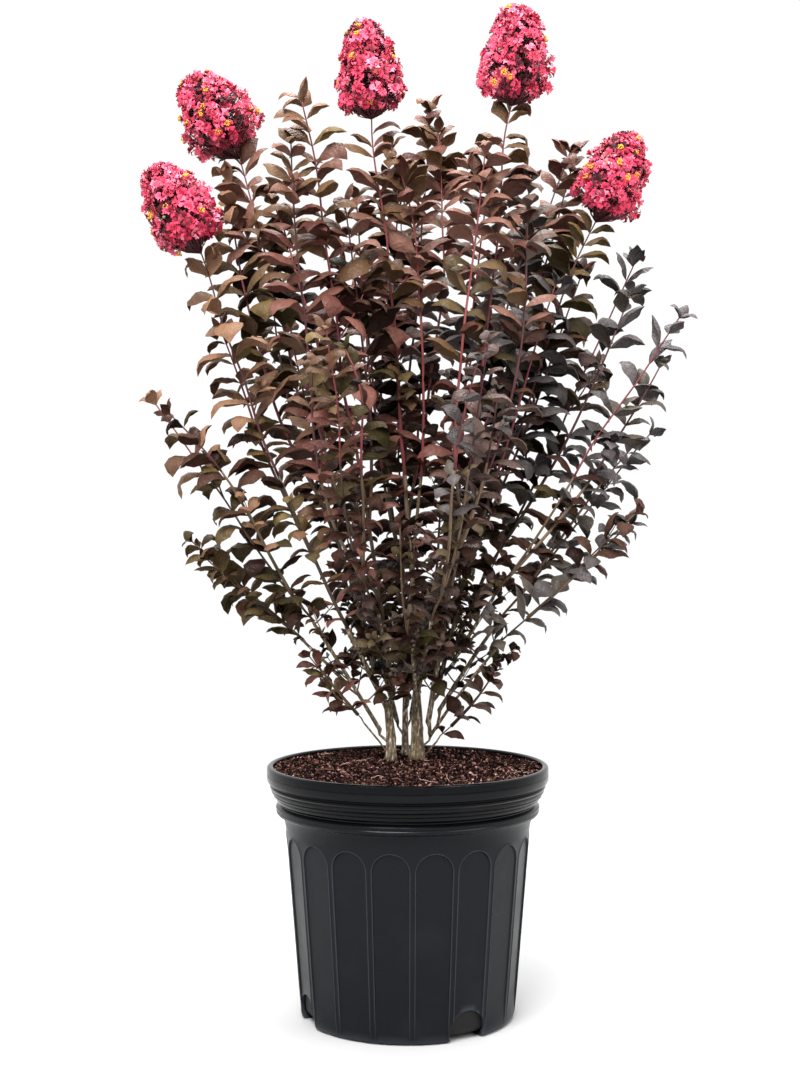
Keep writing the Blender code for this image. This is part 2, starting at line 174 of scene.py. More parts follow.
def pileToPiece(name, pile, materials, smooth=True):
    points = np.concatenate(pile["points"]).astype(np.float32)
    corners = np.concatenate(pile["corners"]).astype(np.int32)
    sizes = np.concatenate(pile["sizes"])
    uvs = np.concatenate(pile["uvs"]).astype(np.float32)
    mesh = bpy.data.meshes.new(name)
    mesh.vertices.add(len(points))
    mesh.vertices.foreach_set("co", points.ravel())
    mesh.loops.add(len(corners))
    mesh.loops.foreach_set("vertex_index", corners)
    mesh.polygons.add(len(sizes))
    mesh.polygons.foreach_set("loop_start", (np.cumsum(sizes) - sizes).astype(np.int32))
    for material in materials:
        mesh.materials.append(material)
    mesh.polygons.foreach_set("material_index", np.concatenate(pile["slots"]))
    mesh.uv_layers.new(name="UVMap").data.foreach_set("uv", uvs.ravel())
    mesh.update(calc_edges=True)
    mesh.validate()
    if smooth:
        mesh.shade_smooth()
    piece = bpy.data.objects.new(name, mesh)
    bpy.context.scene.collection.objects.link(piece)
    return piece


def takeTemplate(obj):
    mesh = obj.data
    corners = np.array([c for p in mesh.polygons for c in p.vertices], np.int32)
    uvs = np.zeros((len(corners), 2))
    if mesh.uv_layers:
        mesh.uv_layers[0].data.foreach_get("uv", flat := np.zeros(len(corners) * 2))
        uvs = flat.reshape(-1, 2)
    shape = {"points": np.array([p.co for p in mesh.vertices]), "corners": corners,
             "sizes": np.array([len(p.vertices) for p in mesh.polygons], np.int32), "uvs": uvs}
    bpy.data.objects.remove(obj)
    return shape


tubeShapes = {}


def tubeShape(rings, sides):
    if (rings, sides) not in tubeShapes:
        corners, sizes, uvs = [], [], []
        for r in range(rings - 1):
            for s in range(sides):
                n = (s + 1) % sides
                corners += [r * sides + s, r * sides + n, (r + 1) * sides + n, (r + 1) * sides + s]
                uvs += [(s / sides, r), ((s + 1) / sides, r), ((s + 1) / sides, r + 1), (s / sides, r + 1)]
                sizes.append(4)
        corners += list(range(sides))[::-1] + [(rings - 1) * sides + s for s in range(sides)]
        uvs += [(0.5, 0.0)] * sides + [(0.5, rings - 1)] * sides
        sizes += [sides, sides]
        tubeShapes[rings, sides] = {"corners": np.array(corners, np.int32), "sizes": np.array(sizes, np.int32),
                                    "uvs": np.array(uvs, float)}
    return tubeShapes[rings, sides]


def unit(rows):
    return rows / np.maximum(np.linalg.norm(rows, axis=-1, keepdims=True), 1e-9)


def swung(angle, across, over):
    return math.cos(angle) * across + math.sin(angle) * over


def jitter(spread):
    return np.array([dice.gauss(0, spread) for _ in range(3)])


def between(at, marks, rows):
    return np.array([np.interp(at, marks, rows[:, k]) for k in range(rows.shape[1])])


def lengthsAlong(path):
    return np.concatenate([[0], np.cumsum(np.linalg.norm(np.diff(path, axis=0), axis=1))])


def frameAlong(path):
    forward = unit(np.gradient(path, axis=0))
    mean = forward.mean(0)
    helper = np.array((0.0, 1.0, 0.0)) if abs(mean[1]) < 0.8 * np.linalg.norm(mean) else np.array((1.0, 0.0, 0.0))
    across = unit(np.cross(forward, helper))
    return forward, across, np.cross(across, forward)


def addTube(pile, path, radii, sides, slot, relief=None):
    # Radii are given for each point, or as a pair for the two ends.
    if isinstance(radii, tuple):
        radii = np.linspace(*radii, len(path))
    _, across, over = frameAlong(path)
    turn = -np.linspace(0, math.tau, sides, endpoint=False)
    spread = radii[:, None] * (relief if relief is not None else np.ones((len(path), sides)))
    ring = np.cos(turn)[:, None] * across[:, None, :] + np.sin(turn)[:, None] * over[:, None, :]
    points = path[:, None, :] + spread[..., None] * ring
    addToPile(pile, points.reshape(-1, 3), tubeShape(len(path), sides), slot)


# Camera at the front, level with the middle of the crown, and plain soft studio light.

studio = {
    "cameraPlace": (-0.0075, -1.6, 0.483),
    "cameraDip": 0.524,             # degrees below level
    "lens": 55.4,
    "world": 1.03,
    "lights": {                     # place, size in metres, power in watts
        "key": ((-0.55, -1.5, 2.4), 1.3, 130),
        "fill": ((1.7, -0.9, 1.5), 1.2, 25),
        "top": ((0.1, 0.5, 2.6), 1.6, 105),
    },
    "aim": (0.0, 0.0, 0.5),
    "floorRadius": 1.35, "floorZ": -0.0006,
}
bpy.ops.object.select_all(action="DESELECT")
bpy.ops.object.camera_add(location=studio["cameraPlace"], rotation=(math.radians(90 - studio["cameraDip"]), 0, 0))
camera = bpy.context.object
camera.data.lens = studio["lens"]
bpy.context.scene.camera = camera
for lampName, (lampPlace, lampSize, power) in studio["lights"].items():
    bpy.ops.object.light_add(type="AREA", location=lampPlace)
    lamp = bpy.context.object
    lamp.name = lampName + "Light"
    lamp.data.size = lampSize
    lamp.data.energy = power
    lamp.visible_camera = False
    lamp.rotation_euler = (Vector(studio["aim"]) - Vector(lampPlace)).to_track_quat("-Z", "Y").to_euler()

world = bpy.data.worlds.new("studio")
world.use_nodes = True
setNode(world.node_tree.nodes["Background"], {"Color": (1.0, 1.0, 1.0, 1.0), "Strength": studio["world"]})
bpy.context.scene.world = world
bpy.context.scene.view_settings.view_transform = "Standard"

floor = addShape(bpy.ops.mesh.primitive_circle_add, vertices=96, radius=studio["floorRadius"], fill_type="NGON",
                 location=(0, 0, studio["floorZ"]))
floor.name = "floor"
bpy.ops.object.transform_apply(location=True)
floor.data.materials.append(grainedSkin("matt pale studio paint", "#afafaf", 0.9, {"Scale": 60.0, "Detail": 3.0},
                                        (0.05, 0.0005)))
floor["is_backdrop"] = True
print("stage set")


# Reading the CAD: a spine for each limb and plume, and how far each plume reaches.

def readShape(name):
    mesh = nodes[name].data
    mesh.calc_loop_triangles()
    points = np.array([p.co for p in mesh.vertices])
    return points, np.array([t.vertices for t in mesh.loop_triangles])


def spineOf(name, step, margin=0.0006):
    # Rows of the middle's x, y and z and the mean radius, cut level every step.
    points, triangles = readShape(name)
    ends = np.concatenate([triangles[:, [0, 1]], triangles[:, [1, 2]], triangles[:, [2, 0]]])
    a, b = points[ends[:, 0]], points[ends[:, 1]]
    low, high = points[:, 2].min() + margin, points[:, 2].max() - margin
    rows = []
    for height in np.linspace(low, high, max(4, round((high - low) / step) + 1)):
        cut = (a[:, 2] < height) != (b[:, 2] < height)
        share = ((height - a[cut, 2]) / (b[cut, 2] - a[cut, 2]))[:, None]
        ring = a[cut] + share * (b[cut] - a[cut])
        middle = (ring.max(0) + ring.min(0)) / 2
        reach = np.linalg.norm(ring[:, :2] - middle[:2], axis=1).mean()
        rows.append((middle[0], middle[1], height, reach))
    return np.array(rows)


def atHeight(rows, height):
    return between(height, rows[:, 2], rows)


caneNames, plumeNames, panicleNames = (sorted(n for n in nodes if n.startswith(starts)) for starts in (
    ("trunk_", "bough_"), "foliage_", "panicle_"))
canes = {n: spineOf(n, 0.005) for n in caneNames}
plumes = {n: spineOf(n, 0.03, 0.003) for n in plumeNames}
plumeTrees = {n: BVHTree.FromPolygons(*[a.tolist() for a in readShape(n)]) for n in plumeNames}
trunkPlumes = {"foliage_left_high": "trunk_left", "foliage_centre": "trunk_centre", "foliage_back": "trunk_back"}

crownPoints, crownFaces = [], []
for crownName in plumeNames + panicleNames:
    shapePoints, shapeFaces = readShape(crownName)
    crownFaces += (shapeFaces + len(crownPoints)).tolist()
    crownPoints += shapePoints.tolist()
crownTree = BVHTree.FromPolygons(crownPoints, crownFaces)


def overhang(place):
    spot, normal, _, distance = crownTree.find_nearest(Vector(place))
    return distance if (Vector(place) - spot).dot(normal) > 0 else 0.0


print("read", len(canes), "canes and", len(plumes), "plumes")


# Canes: smooth crape myrtle bark over the canes, with shallow fissures, knots and a flared foot.

caneSettings = {
    "sides": 20, "slimSides": 12, "slimRadius": 0.004,      # fewer sides on a cane this thin
    "ridge": 0.055,                 # relief of the fissures, as a share of the radius
    "knot": 0.20,
    "knotSpacing": 0.024,
    "rootIn": 0.010,                # how far a bough starts inside its parent
    "trunkIn": 0.004,               # how far a trunk starts inside the mix
    "slim": 0.56,                   # boughs are thinner than their solids
    "slimTrunk": {"trunk_left": 0.78, "trunk_centre": 0.74, "trunk_back": 0.52},
    "trunkTaper": ((0.244, 0.285, 0.310, 0.400), (1.0, 0.92, 0.66, 0.56)),    # height, share of the radius
}


def parentOf(name):
    if name.startswith("trunk_"):
        return None
    start = canes[name][0]
    near = [(np.linalg.norm(atHeight(rows, start[2])[:2] - start[:2]) - atHeight(rows, start[2])[3], other)
            for other, rows in canes.items() if other != name and rows[0, 2] < start[2] < rows[-1, 2]]
    return min(near)[1]


def barkRelief(path, sides, seed):
    relief = np.ones((len(path), sides))
    for i, s in enumerate(lengthsAlong(path)):
        knotRun = s / caneSettings["knotSpacing"] + 0.37 * seed
        for j, angle in enumerate(np.linspace(0, math.tau, sides, endpoint=False)):
            spot = Vector((math.cos(angle) * 1.6, math.sin(angle) * 1.6, s * 34 + seed * 7))
            fissure = noise.noise(spot) * 1.2 + 0.5 * noise.noise(spot * 2.3)
            side = math.cos(angle - 2.4 * math.floor(knotRun))
            knot = math.exp(-((knotRun % 1 - 0.5) / 0.10) ** 2) * max(0, side) ** 3
            relief[i, j] = 1 + caneSettings["ridge"] * fissure * 1.6 + caneSettings["knot"] * knot
    return relief


barkPile = newPile()
caneTops = {}
for seed, caneName in enumerate(caneNames):
    rows = canes[caneName]
    parent = parentOf(caneName)
    path, radii = rows[:, :3].copy(), rows[:, 3].copy()
    if parent:
        rootZ = rows[0, 2] - caneSettings["rootIn"]
        root = atHeight(canes[parent], max(rootZ, canes[parent][0, 2]))
        lead = root[:3] + (path[0] - root[:3]) * np.array([[0.0], [0.35], [0.7]])
        path = np.concatenate([lead, path])
        radii = np.concatenate([radii[0] * np.array([0.8, 1.25, 1.12]), radii])
        swell = min(5, len(radii) - 3)
        radii[3:3 + swell] *= np.linspace(1.08, 1.0, swell)
        radii *= caneSettings["slim"]
    else:
        path[0, 2] -= caneSettings["trunkIn"]
        radii *= caneSettings["slimTrunk"][caneName]
        radii *= np.interp(path[:, 2], *caneSettings["trunkTaper"])
    caneTops[caneName] = (path[-1], radii[-1])
    sides = caneSettings["sides"] if radii.max() > caneSettings["slimRadius"] else caneSettings["slimSides"]
    addTube(barkPile, path, radii, sides, 0, barkRelief(path, sides, seed))

# Living bark: a smooth skin that flakes in long plates, olive brown with pale streaks, browner where it is young.
barkSettings = {"dark": "#1c150f", "olive": "#564a35", "brown": "#7a6652", "pale": "#d2c8ba", "moss": "#5f5132",
                "young": "#453427", "youngFrom": 0.38, "youngTo": 0.52, "streakMm": 2.0, "streakStretch": 0.30}
bark, barkShader, coords = newMaterial("smooth flaking bark", barkSettings["brown"], 0.72)
stretch = addNode(bark, "Mapping", {"Scale": (1.0, 1.0, barkSettings["streakStretch"])}, {"Vector": coords["Object"]})
streaks = addNode(bark, "TexNoise", {"Scale": 1 / (barkSettings["streakMm"] / 1000), "Detail": 4.0, "Roughness": 0.6},
                  {"Vector": stretch})
patches = addNode(bark, "TexNoise", {"Scale": 55.0, "Detail": 3.0}, {"Vector": coords["Object"]})
tones = ((0.33, "dark"), (0.45, "olive"), (0.56, "brown"), (0.67, "pale"))
tone = setRamp(addNode(bark, "ValToRGB", {}, {"Fac": streaks}), [(at, barkSettings[name]) for at, name in tones])
mossy = setRamp(addNode(bark, "ValToRGB", {}, {"Fac": patches}), [(0.42, "#000000"), (0.62, "#ffffff")])
mossShare = addNode(bark, "Math", {"operation": "MULTIPLY", 1: 0.45}, {0: mossy})
mixed = addNode(bark, "MixRGB", {"Color2": hexColour(barkSettings["moss"])}, {"Fac": mossShare, "Color1": tone})
height = addNode(bark, "SeparateXYZ", {}, {"Vector": coords["Object"]}).outputs["Z"]
younger = addNode(bark, "MapRange", {"From Min": barkSettings["youngFrom"], "From Max": barkSettings["youngTo"],
                                     "To Min": 0.0, "To Max": 0.60}, {"Value": height})
browned = addNode(bark, "MixRGB", {"Color2": hexColour(barkSettings["young"])}, {"Fac": younger, "Color1": mixed})
barkBump = addNode(bark, "Bump", {"Strength": 0.6, "Distance": 0.0006}, {"Height": streaks})
setNode(barkShader, links={"Base Color": browned, "Normal": barkBump})
finishPiece(pileToPiece("canes", barkPile, [bark]), caneNames)


# Leaves: six shapes, each a grid shaped row by row.

leafShapes = [
    # fold: how far the edges hang. arch: degrees from base to tip. wave: of the edge.
    {"fold": 0.20, "arch": 120, "wave": 0.030, "twist": 8, "widest": 0.46},
    {"fold": 0.28, "arch": 100, "wave": 0.045, "twist": -14, "widest": 0.42},
    {"fold": 0.14, "arch": 136, "wave": 0.035, "twist": 16, "widest": 0.50},
    {"fold": 0.34, "arch": 86, "wave": 0.025, "twist": -6, "widest": 0.45},
    {"fold": 0.22, "arch": 156, "wave": 0.055, "twist": 26, "widest": 0.48},
    {"fold": 0.36, "arch": 66, "wave": 0.030, "twist": 12, "widest": 0.44},
]
leafRows = 7
leafColumns = 4


def leafHalfWidth(run, widest):
    if run <= 0:
        return 0.035
    if run < widest:
        return 0.035 + 0.465 * math.sin(0.5 * math.pi * run / widest) ** 1.15
    left = (1 - run) / (1 - widest)
    return 0.5 * math.sin(0.5 * math.pi * left) ** 1.12 if left > 0 else 0.004


def turnedRound(shape):
    # The same faces turned round, for leaves made left-handed.
    starts = np.cumsum(shape["sizes"]) - shape["sizes"]
    order = [k for start, size in zip(starts, shape["sizes"]) for k in range(start, start + size)[::-1]]
    return {"corners": shape["corners"][order], "sizes": shape["sizes"], "uvs": shape["uvs"][order]}


def makeLeaf(settings, seed):
    leaf = addShape(bpy.ops.mesh.primitive_grid_add, x_subdivisions=leafColumns, y_subdivisions=leafRows, size=1)
    bpy.ops.object.mode_set(mode="EDIT")
    across = leafColumns + 1
    reach, height = 0.0, 0.0
    for row in range(leafRows + 1):
        run = (row / leafRows) ** 0.94
        heading = math.radians(24 - settings["arch"] * run ** 1.4)
        if row:
            step = run - ((row - 1) / leafRows) ** 0.94
            reach += step * math.cos(heading)
            height += step * math.sin(heading)
        half = leafHalfWidth(run, settings["widest"])
        pickPoints(lambda p: p.index // across == row)
        bpy.ops.transform.resize(value=(2 * half, 1, 1), center_override=origin)
        bpy.ops.transform.translate(value=(0, 0.5 - row / leafRows, 0))
        for column in range(across):
            side = (column - leafColumns / 2) / (leafColumns / 2)
            drop = -settings["fold"] * abs(side) ** 1.7 * half
            drop += 0.030 * (1 - abs(2 * abs(side) - 1)) * min(1, 4 * half)
            drop += settings["wave"] * side * math.sin(run * 9 + seed * 1.7 + 2 * side) * min(1, 3 * half)
            movePoints(lambda p: p.index == row * across + column, (0, 0, drop))
        pickPoints(lambda p: p.index // across == row)
        bpy.ops.transform.rotate(value=math.radians(-settings["twist"] * run), orient_axis="Y", center_override=origin)
        bpy.ops.transform.rotate(value=-heading, orient_axis="X", center_override=origin)
        bpy.ops.transform.translate(value=(0, reach, height))
    bpy.ops.object.mode_set(mode="OBJECT")
    shape = takeTemplate(leaf)
    shape["mirror"] = turnedRound(shape)
    return shape


leafTemplates = [makeLeaf(settings, seed) for seed, settings in enumerate(leafShapes)]
print("leaf shapes", len(leafTemplates), "of", len(leafTemplates[0]["sizes"]), "faces")

# Leaf tints, dealt out by spray. Each family is a run of neighbours.
tints = {
    "rose": ["#644339", "#704e42", "#573a30", "#5e4631"],
    "tan": ["#674a37", "#755641", "#533c2c", "#5f4e30"],
    "olive": ["#4b3c24", "#57462a", "#3c301c", "#5a4731"],
    "burgundy": ["#55322b", "#633f36", "#43261f", "#523a27"],
    "dusk": ["#4a3731", "#59473f", "#3b2b26", "#4a3d2a"],
    "slate": ["#453f3e", "#4e4847", "#383332", "#49423b"],
    # Umber is partly, and inner wholly, painted shade, dealt out deep in the crown; inner is near black.
    "umber": ["#2f1d16", "#3d281f", "#20120d", "#322a17"],
    "inner": ["#140a07", "#1b0f0b", "#0d0605"],
    "young": ["#583225", "#613e2b"],
}
leafGloss = {"rose": 0.18, "tan": 0.18, "olive": 0.16, "burgundy": 0.16, "umber": 0.10, "inner": 0.04, "slate": 0.24,
             "dusk": 0.28, "young": 0.28}
firstSlot = {}
leafMaterials = []


def leafMaterial(name, code, gloss):
    # Leathery leaf skin: a soft gloss on top, veins that run out from the midrib.
    material, shader, coords = newMaterial(name, code, 0.46, {"Specular IOR Level": gloss})
    split = addNode(material, "SeparateXYZ", {}, {"Vector": coords["UV"]}).outputs
    side = addNode(material, "Math", {"operation": "SUBTRACT", 1: 0.5}, {0: split["X"]})
    away = addNode(material, "Math", {"operation": "ABSOLUTE"}, {0: side})
    lean = addNode(material, "Math", {"operation": "MULTIPLY_ADD", 1: -0.55, 2: 0.0}, {0: away})
    phase = addNode(material, "Math", {"operation": "ADD"}, {0: lean, 1: split["Y"]})
    wave = addNode(material, "Math", {"operation": "MULTIPLY", 1: 50.0}, {0: phase})        # eight side veins
    veins = addNode(material, "Math", {"operation": "SINE"}, {0: wave})
    midrib = addNode(material, "MapRange", {"From Min": 0.0, "From Max": 0.05, "To Min": -2.2, "To Max": 0.0},
                     {"Value": away})
    height = addNode(material, "Math", {"operation": "ADD"}, {0: veins, 1: midrib})
    patch = addNode(material, "TexNoise", {"Scale": 150.0, "Detail": 3.0}, {"Vector": coords["Object"]})
    quilt = addNode(material, "Math", {"operation": "MULTIPLY_ADD", 1: 30.0}, {0: patch, 2: height})
    bump = addNode(material, "Bump", {"Strength": 0.32, "Distance": 0.00035}, {"Height": quilt})
    sheen = addNode(material, "MapRange", {"From Min": 0.3, "From Max": 0.7, "To Min": 0.30, "To Max": 0.62},
                    {"Value": patch})
    setNode(shader, links={"Roughness": sheen, "Normal": bump})
    return material


for family, codes in tints.items():
    firstSlot[family] = len(leafMaterials)
    for index, code in enumerate(codes):
        leafMaterials.append(leafMaterial(f"{family} leaf {index + 1}", code, leafGloss[family]))

# Where the crown's zones start and are full, in metres, and the middle and reach of its two bands.
tintZones = {"high": (0.66, 0.80), "low": (0.58, 0.45), "left": (-0.05, -0.15), "right": (0.08, 0.19),
             "front": (0.06, 0.16), "middle": (-0.03, 0.11), "nearRight": (0.09, 0.10), "blur": (0.015, 0.020)}


def ramp(value, zone):
    start, end = tintZones[zone]
    return min(1, max(0, (value - start) / (end - start)))


def band(value, zone):
    middle, reach = tintZones[zone]
    return max(0, 1 - abs(value - middle) / reach)


def tintFamily(place, depth):
    # Rose at the top, tan and olive to the left, then burgundy, dusk and slate to the right, umber low
    # and deeper in, partly as painted shade, and near black deep inside as painted shade. The numbers are each
    # family's weight.
    x, y, z = place
    x = x + dice.gauss(0, tintZones["blur"][0])
    z = z + dice.gauss(0, tintZones["blur"][1])
    high, low = ramp(z, "high"), ramp(z, "low")
    left, right = ramp(x, "left"), ramp(x, "right")
    middle, nearRight = band(x, "middle"), band(x, "nearRight")
    body = (1 - high) * (1 - 0.8 * low)
    front = ramp(-y, "front") * (1 - high)
    weights = {
        "rose": 3.0 * high * (1 - 0.70 * right) * (1 - 0.35 * left) + 0.10 * body * (1 - right) * (1 - nearRight),
        "tan": 2.6 * left * body + 1.4 * left * high + 0.6 * left * low,
        "olive": 0.8 * left * (body + 0.6 * low) + 0.05 * body * (1 - right) + 0.12 * high,
        "burgundy": 2.0 * middle * body * (1 - 0.3 * front) + 0.25 * middle * low + 0.3 * high,
        "dusk": 2.8 * nearRight * body + 1.0 * right * high + 0.6 * nearRight * low + 0.6 * right * body,
        "slate": 2.2 * right * body + 0.9 * right * low + 0.10 * right * high + 0.8 * nearRight * body,
        # Umber's depth term and the inner family are painted shade where the crown shades itself.
        "umber": (2.4 * low * (1 - 0.6 * left) * (1 - 0.4 * right) + 0.25 * body
                  + 0.6 * depth * (1 - 0.5 * high) + 1.0 * front),
        "inner": 3.0 * max(0, depth - 0.25) * (1 - 0.5 * high),
    }
    return dice.choices(list(weights), weights.values())[0]


leafSettings = {
    "longest": 0.049,
    "shape": (0.43, 0.57),          # width as a share of length
    "spacing": 0.0180,
    "sideSpacing": 0.0135,
    "looser": ((0.40, 0.50, 0.68, 0.80), (1.20, 1.50, 1.50, 0.90)),    # height, share of the spacing
    "rise": (12, 46),               # degrees above square to the stem
    "level": (0.05, 0.35),          # how steeply a leaf on a wand sets out
    "allowance": 0.010,             # how far a leaf may pass the plumes
    "dropped": 0.030,               # one that would pass them by this much isn't made
    "ranked": 0.78,                 # share of pairs in the plane of the pair before
    "swing": 0.42,                  # how far a leaf strays round the stem, in radians
    "missing": 0.06,                # share of leaves that have fallen
    "sizes": (0.78, 1.10), "tuftSizes": (0.35, 0.55), "tuftRise": (45, 78),
    "mainTint": 0.60,               # share of leaves in their spray's main tint
    "youngTips": 0.12, "youngFrom": 0.6,
    "tipFrom": 0.84, "tipRun": 0.16, "tipShrink": 0.32,    # leaves shrink over the last of a shoot
}
twigPile = newPile()
twigTints = ["#6b3036", "#7a3a3a", "#56432f", "#6a5643", "#45362b", "#4d2a2c"]
twigSlots = {"red": (0, 1, 5), "tan": (2, 3, 4)}
leafPiles = {}


def addLeaf(pile, base, out, up, length, slot):
    out = unit(out)
    side = unit(np.cross(out, up))
    up = np.cross(side, out)
    past = overhang(base + out * length * 0.85 - np.array((0, 0, 0.2 * length)))
    if past > leafSettings["allowance"] and base[2] > 0.43:
        length = max(length - (past - leafSettings["allowance"]), length * 0.45)
        if past > leafSettings["dropped"]:
            return
    template = dice.choice(leafTemplates)
    width = length * dice.uniform(*leafSettings["shape"]) * dice.choice((-1, 1))
    points = template["points"] @ np.array([side * width, out * length, up * length]) + base
    addToPile(pile, points, template if width > 0 else template["mirror"], slot)


def dressShoot(pile, path, spacing, longest, family, upright, first=0.0, tuft=True, whole=None):
    # Leaves in loose pairs, each pair turned from the last, small towards the tip.
    lengths = lengthsAlong(path)
    distance = first + spacing * dice.uniform(0.2, 0.9)
    turn = dice.gauss(0, 0.3) + (0 if upright else math.pi / 2)
    forward, across, over = frameAlong(path)
    main = dice.randrange(len(tints[family]))
    while distance < lengths[-1] - 0.002:
        run = distance / lengths[-1]
        # how far up the whole shoot this stretch is
        grown = run if whole is None else (whole[0] + run * (len(path) - 1)) / (whole[1] - 1)
        spot = between(distance, lengths, path)
        k = min(len(path) - 1, int(run * (len(path) - 1) + 0.5))
        for half in (0, math.pi):
            if dice.random() < leafSettings["missing"]:
                continue
            radial = swung(turn + half + dice.gauss(0, leafSettings["swing"]), across[k], over[k])
            rise = math.radians(dice.uniform(*leafSettings["rise"]) + 20 * grown ** 4)
            out = radial * math.cos(rise) + forward[k] * math.sin(rise)
            # However a shoot leans, its leaves set out level or rising and arch over, faces to the sky.
            out[2] = max(out[2], dice.uniform(*leafSettings["level"])) if upright else abs(out[2]) * 0.8 + 0.12
            up = forward[k] * 0.35 + np.array((0, 0, 0.9)) + jitter(0.22)
            size = longest * dice.uniform(*leafSettings["sizes"]) * (0.86 + 0.14 * math.sin(math.pi * grown))
            if grown > leafSettings["tipFrom"]:
                size *= 1 - leafSettings["tipShrink"] * (grown - leafSettings["tipFrom"]) / leafSettings["tipRun"]
            pick = main if dice.random() < leafSettings["mainTint"] else dice.randrange(len(tints[family]))
            addLeaf(pile, spot + radial * 0.0008, out, up, size, firstSlot[family] + pick)
        turn += math.pi / 2 if dice.random() > leafSettings["ranked"] else math.pi
        looser = np.interp(spot[2], *leafSettings["looser"])
        distance += spacing * dice.uniform(0.8, 1.25) * (1 - 0.30 * grown) * looser
    if tuft:
        for k in range(3):
            radial = swung(turn + k * 2.1, across[-1], over[-1])
            rise = math.radians(dice.uniform(*leafSettings["tuftRise"]))
            out = radial * math.cos(rise) + forward[-1] * math.sin(rise)
            young = dice.random() < leafSettings["youngTips"]
            slot = firstSlot[family] + main
            if young and path[-1][2] > leafSettings["youngFrom"]:
                slot = firstSlot["young"] + dice.randrange(2)
            size = longest * dice.uniform(*leafSettings["tuftSizes"])
            addLeaf(pile, path[-1], out, radial * -1 + forward[-1], size, slot)


def curvedPath(start, direction, length, lift, bend, count=9):
    # A shoot that leans out and lifts towards the sky, with a slight wander.
    path = [np.array(start)]
    heading = unit(np.array(direction))
    for k in range(count - 1):
        heading = unit(heading + np.array((0, 0, lift / (count - 1))) + bend / (count - 1))
        path.append(path[-1] + heading * length / (count - 1))
    return np.array(path)


# How full each plume is: its share of side shoots, its second wands, and the size of its leaves.
plumeSettings = {
    "fill": 20.0,                   # side shoots per metre of height
    "fillHigh": 0.55, "highFrom": 0.60,    # fewer of them above the middle of the crown
    "wandReach": 0.62,              # of the plume's reach, where a second wand runs
    "wandStep": 0.012,
    "wandTip": 0.0007, "secondWand": 0.0019,               # radii
    "wandFrom": (0.02, 0.22), "wandTo": (0.80, 0.96),      # share of the leader's height where one starts and ends
    "shootRise": (28, 52), "shortest": 0.018, "longest": 0.12, "shootLeaf": (0.66, 0.90),
    "redFrom": 0.52,                # height from which wands are red
    "stretch": 5,                   # points of a wand in one tint family
    "sizes": ((0.34, 0.46, 0.56, 0.68), (0.60, 0.68, 0.84, 1.0)),    # height, share of the longest leaf
    "left_low": (1.6, 1, 1.25), "left_skirt": (1.6, 2, 1.30), "left_foot": (1.3, 1, 1.12),
    "left_high": (0.7, 1, 1.10), "left_top": (1.1, 2, 1.18), "left_inner": (0.65, 2, 1.14),
    "right_low": (0.5, 1, 1.14), "right_skirt": (0.6, 1, 1.24), "right_foot": (0.4, 1, 0.98),
    "right_high": (0.8, 2, 1.14), "right_top": (1.2, 2, 1.16), "right_inner": (0.8, 3, 1.06),
    "right_far": (0.3, 1, 1.02), "right_back": (0.6, 1, 1.04),
    "front_left": (0.3, 2, 0.86), "front_right": (0.35, 2, 0.86), "front_low": (0.45, 1, 0.74),
    "centre": (0.5, 2, 1.0), "centre_back": (1.0, 2, 1.12), "back": (1.0, 2, 1.0),
    "back_left": (0.45, 2, 1.0), "back_right": (0.45, 2, 1.0),
    "back_low_left": (0.5, 1, 1.0), "back_low_right": (0.5, 1, 1.0),
}
groups = {"leavesLeft": "left_", "leavesRight": "right_", "leavesBack": "back", "leavesMiddle": ""}


def groupOf(plain):
    return next(g for g, prefix in groups.items() if plain.startswith(prefix))


def leafSizeAt(z):
    return leafSettings["longest"] * float(np.interp(z, *plumeSettings["sizes"]))


def smoothed(path, width=5):
    half = width // 2
    padded = np.concatenate([2 * path[0] - path[half:0:-1], path, 2 * path[-1] - path[-2:-2 - half:-1]])
    return np.stack([np.convolve(padded[:, k], np.ones(width) / width, "valid") for k in range(3)], axis=1)


def atLevel(path, level):
    return between(level * (len(path) - 1), np.arange(len(path)), path)


def reachFrom(tree, start, direction, otherwise):
    hit = tree.ray_cast(Vector(start), Vector(direction))
    return hit[3] if hit[0] is not None else otherwise


skyward = [Vector((math.cos(turn), math.sin(turn), rise)).normalized()
           for rise in (0.1, 0.9) for turn in np.linspace(0, math.tau, 8, endpoint=False)] + [Vector((0, 0, 1))]


def shadeDepthAt(place):
    # 0 at the crown's skin, 1 well inside it, from how much foliage lies outside the place.
    # This depth sets how much painted shade the leaves' tints carry.
    depths = []
    for direction in skyward:
        hit = crownTree.ray_cast(Vector(place) + direction * 0.8, -direction, 0.8)
        depths.append(0.8 - hit[3] if hit[0] is not None else 0.0)
    return min(1.0, max(0.0, (sum(sorted(depths)[:4]) / 4 - 0.030) / 0.060))


def dressWand(pile, path, size, tuft):
    # Leaves on an upright wand, in a new tint family every few pairs.
    start = 0
    while start < len(path) - 2:
        end = min(len(path), start + plumeSettings["stretch"] + 1)
        if len(path) - end < 4:
            end = len(path)
        middle = path[(start + end) // 2]
        dressShoot(pile, path[start:end], leafSettings["spacing"], leafSizeAt(middle[2]) * size,
                   tintFamily(middle, shadeDepthAt(middle)), True, tuft=tuft and end == len(path),
                   whole=(start, len(path)))
        if end == len(path):
            break
        start = end - 1


def wandTubes(path, baseRadius):
    radii = np.linspace(baseRadius, plumeSettings["wandTip"], len(path))
    redFrom = max(1, int(np.searchsorted(path[:, 2], plumeSettings["redFrom"])))
    if redFrom < len(path) - 2:
        addTube(twigPile, path[redFrom:], radii[redFrom:], 7, dice.choice(twigSlots["red"]))
    if redFrom > 2:
        addTube(twigPile, path[:redFrom + 1], radii[:redFrom + 1], 7, dice.choice(twigSlots["tan"]))


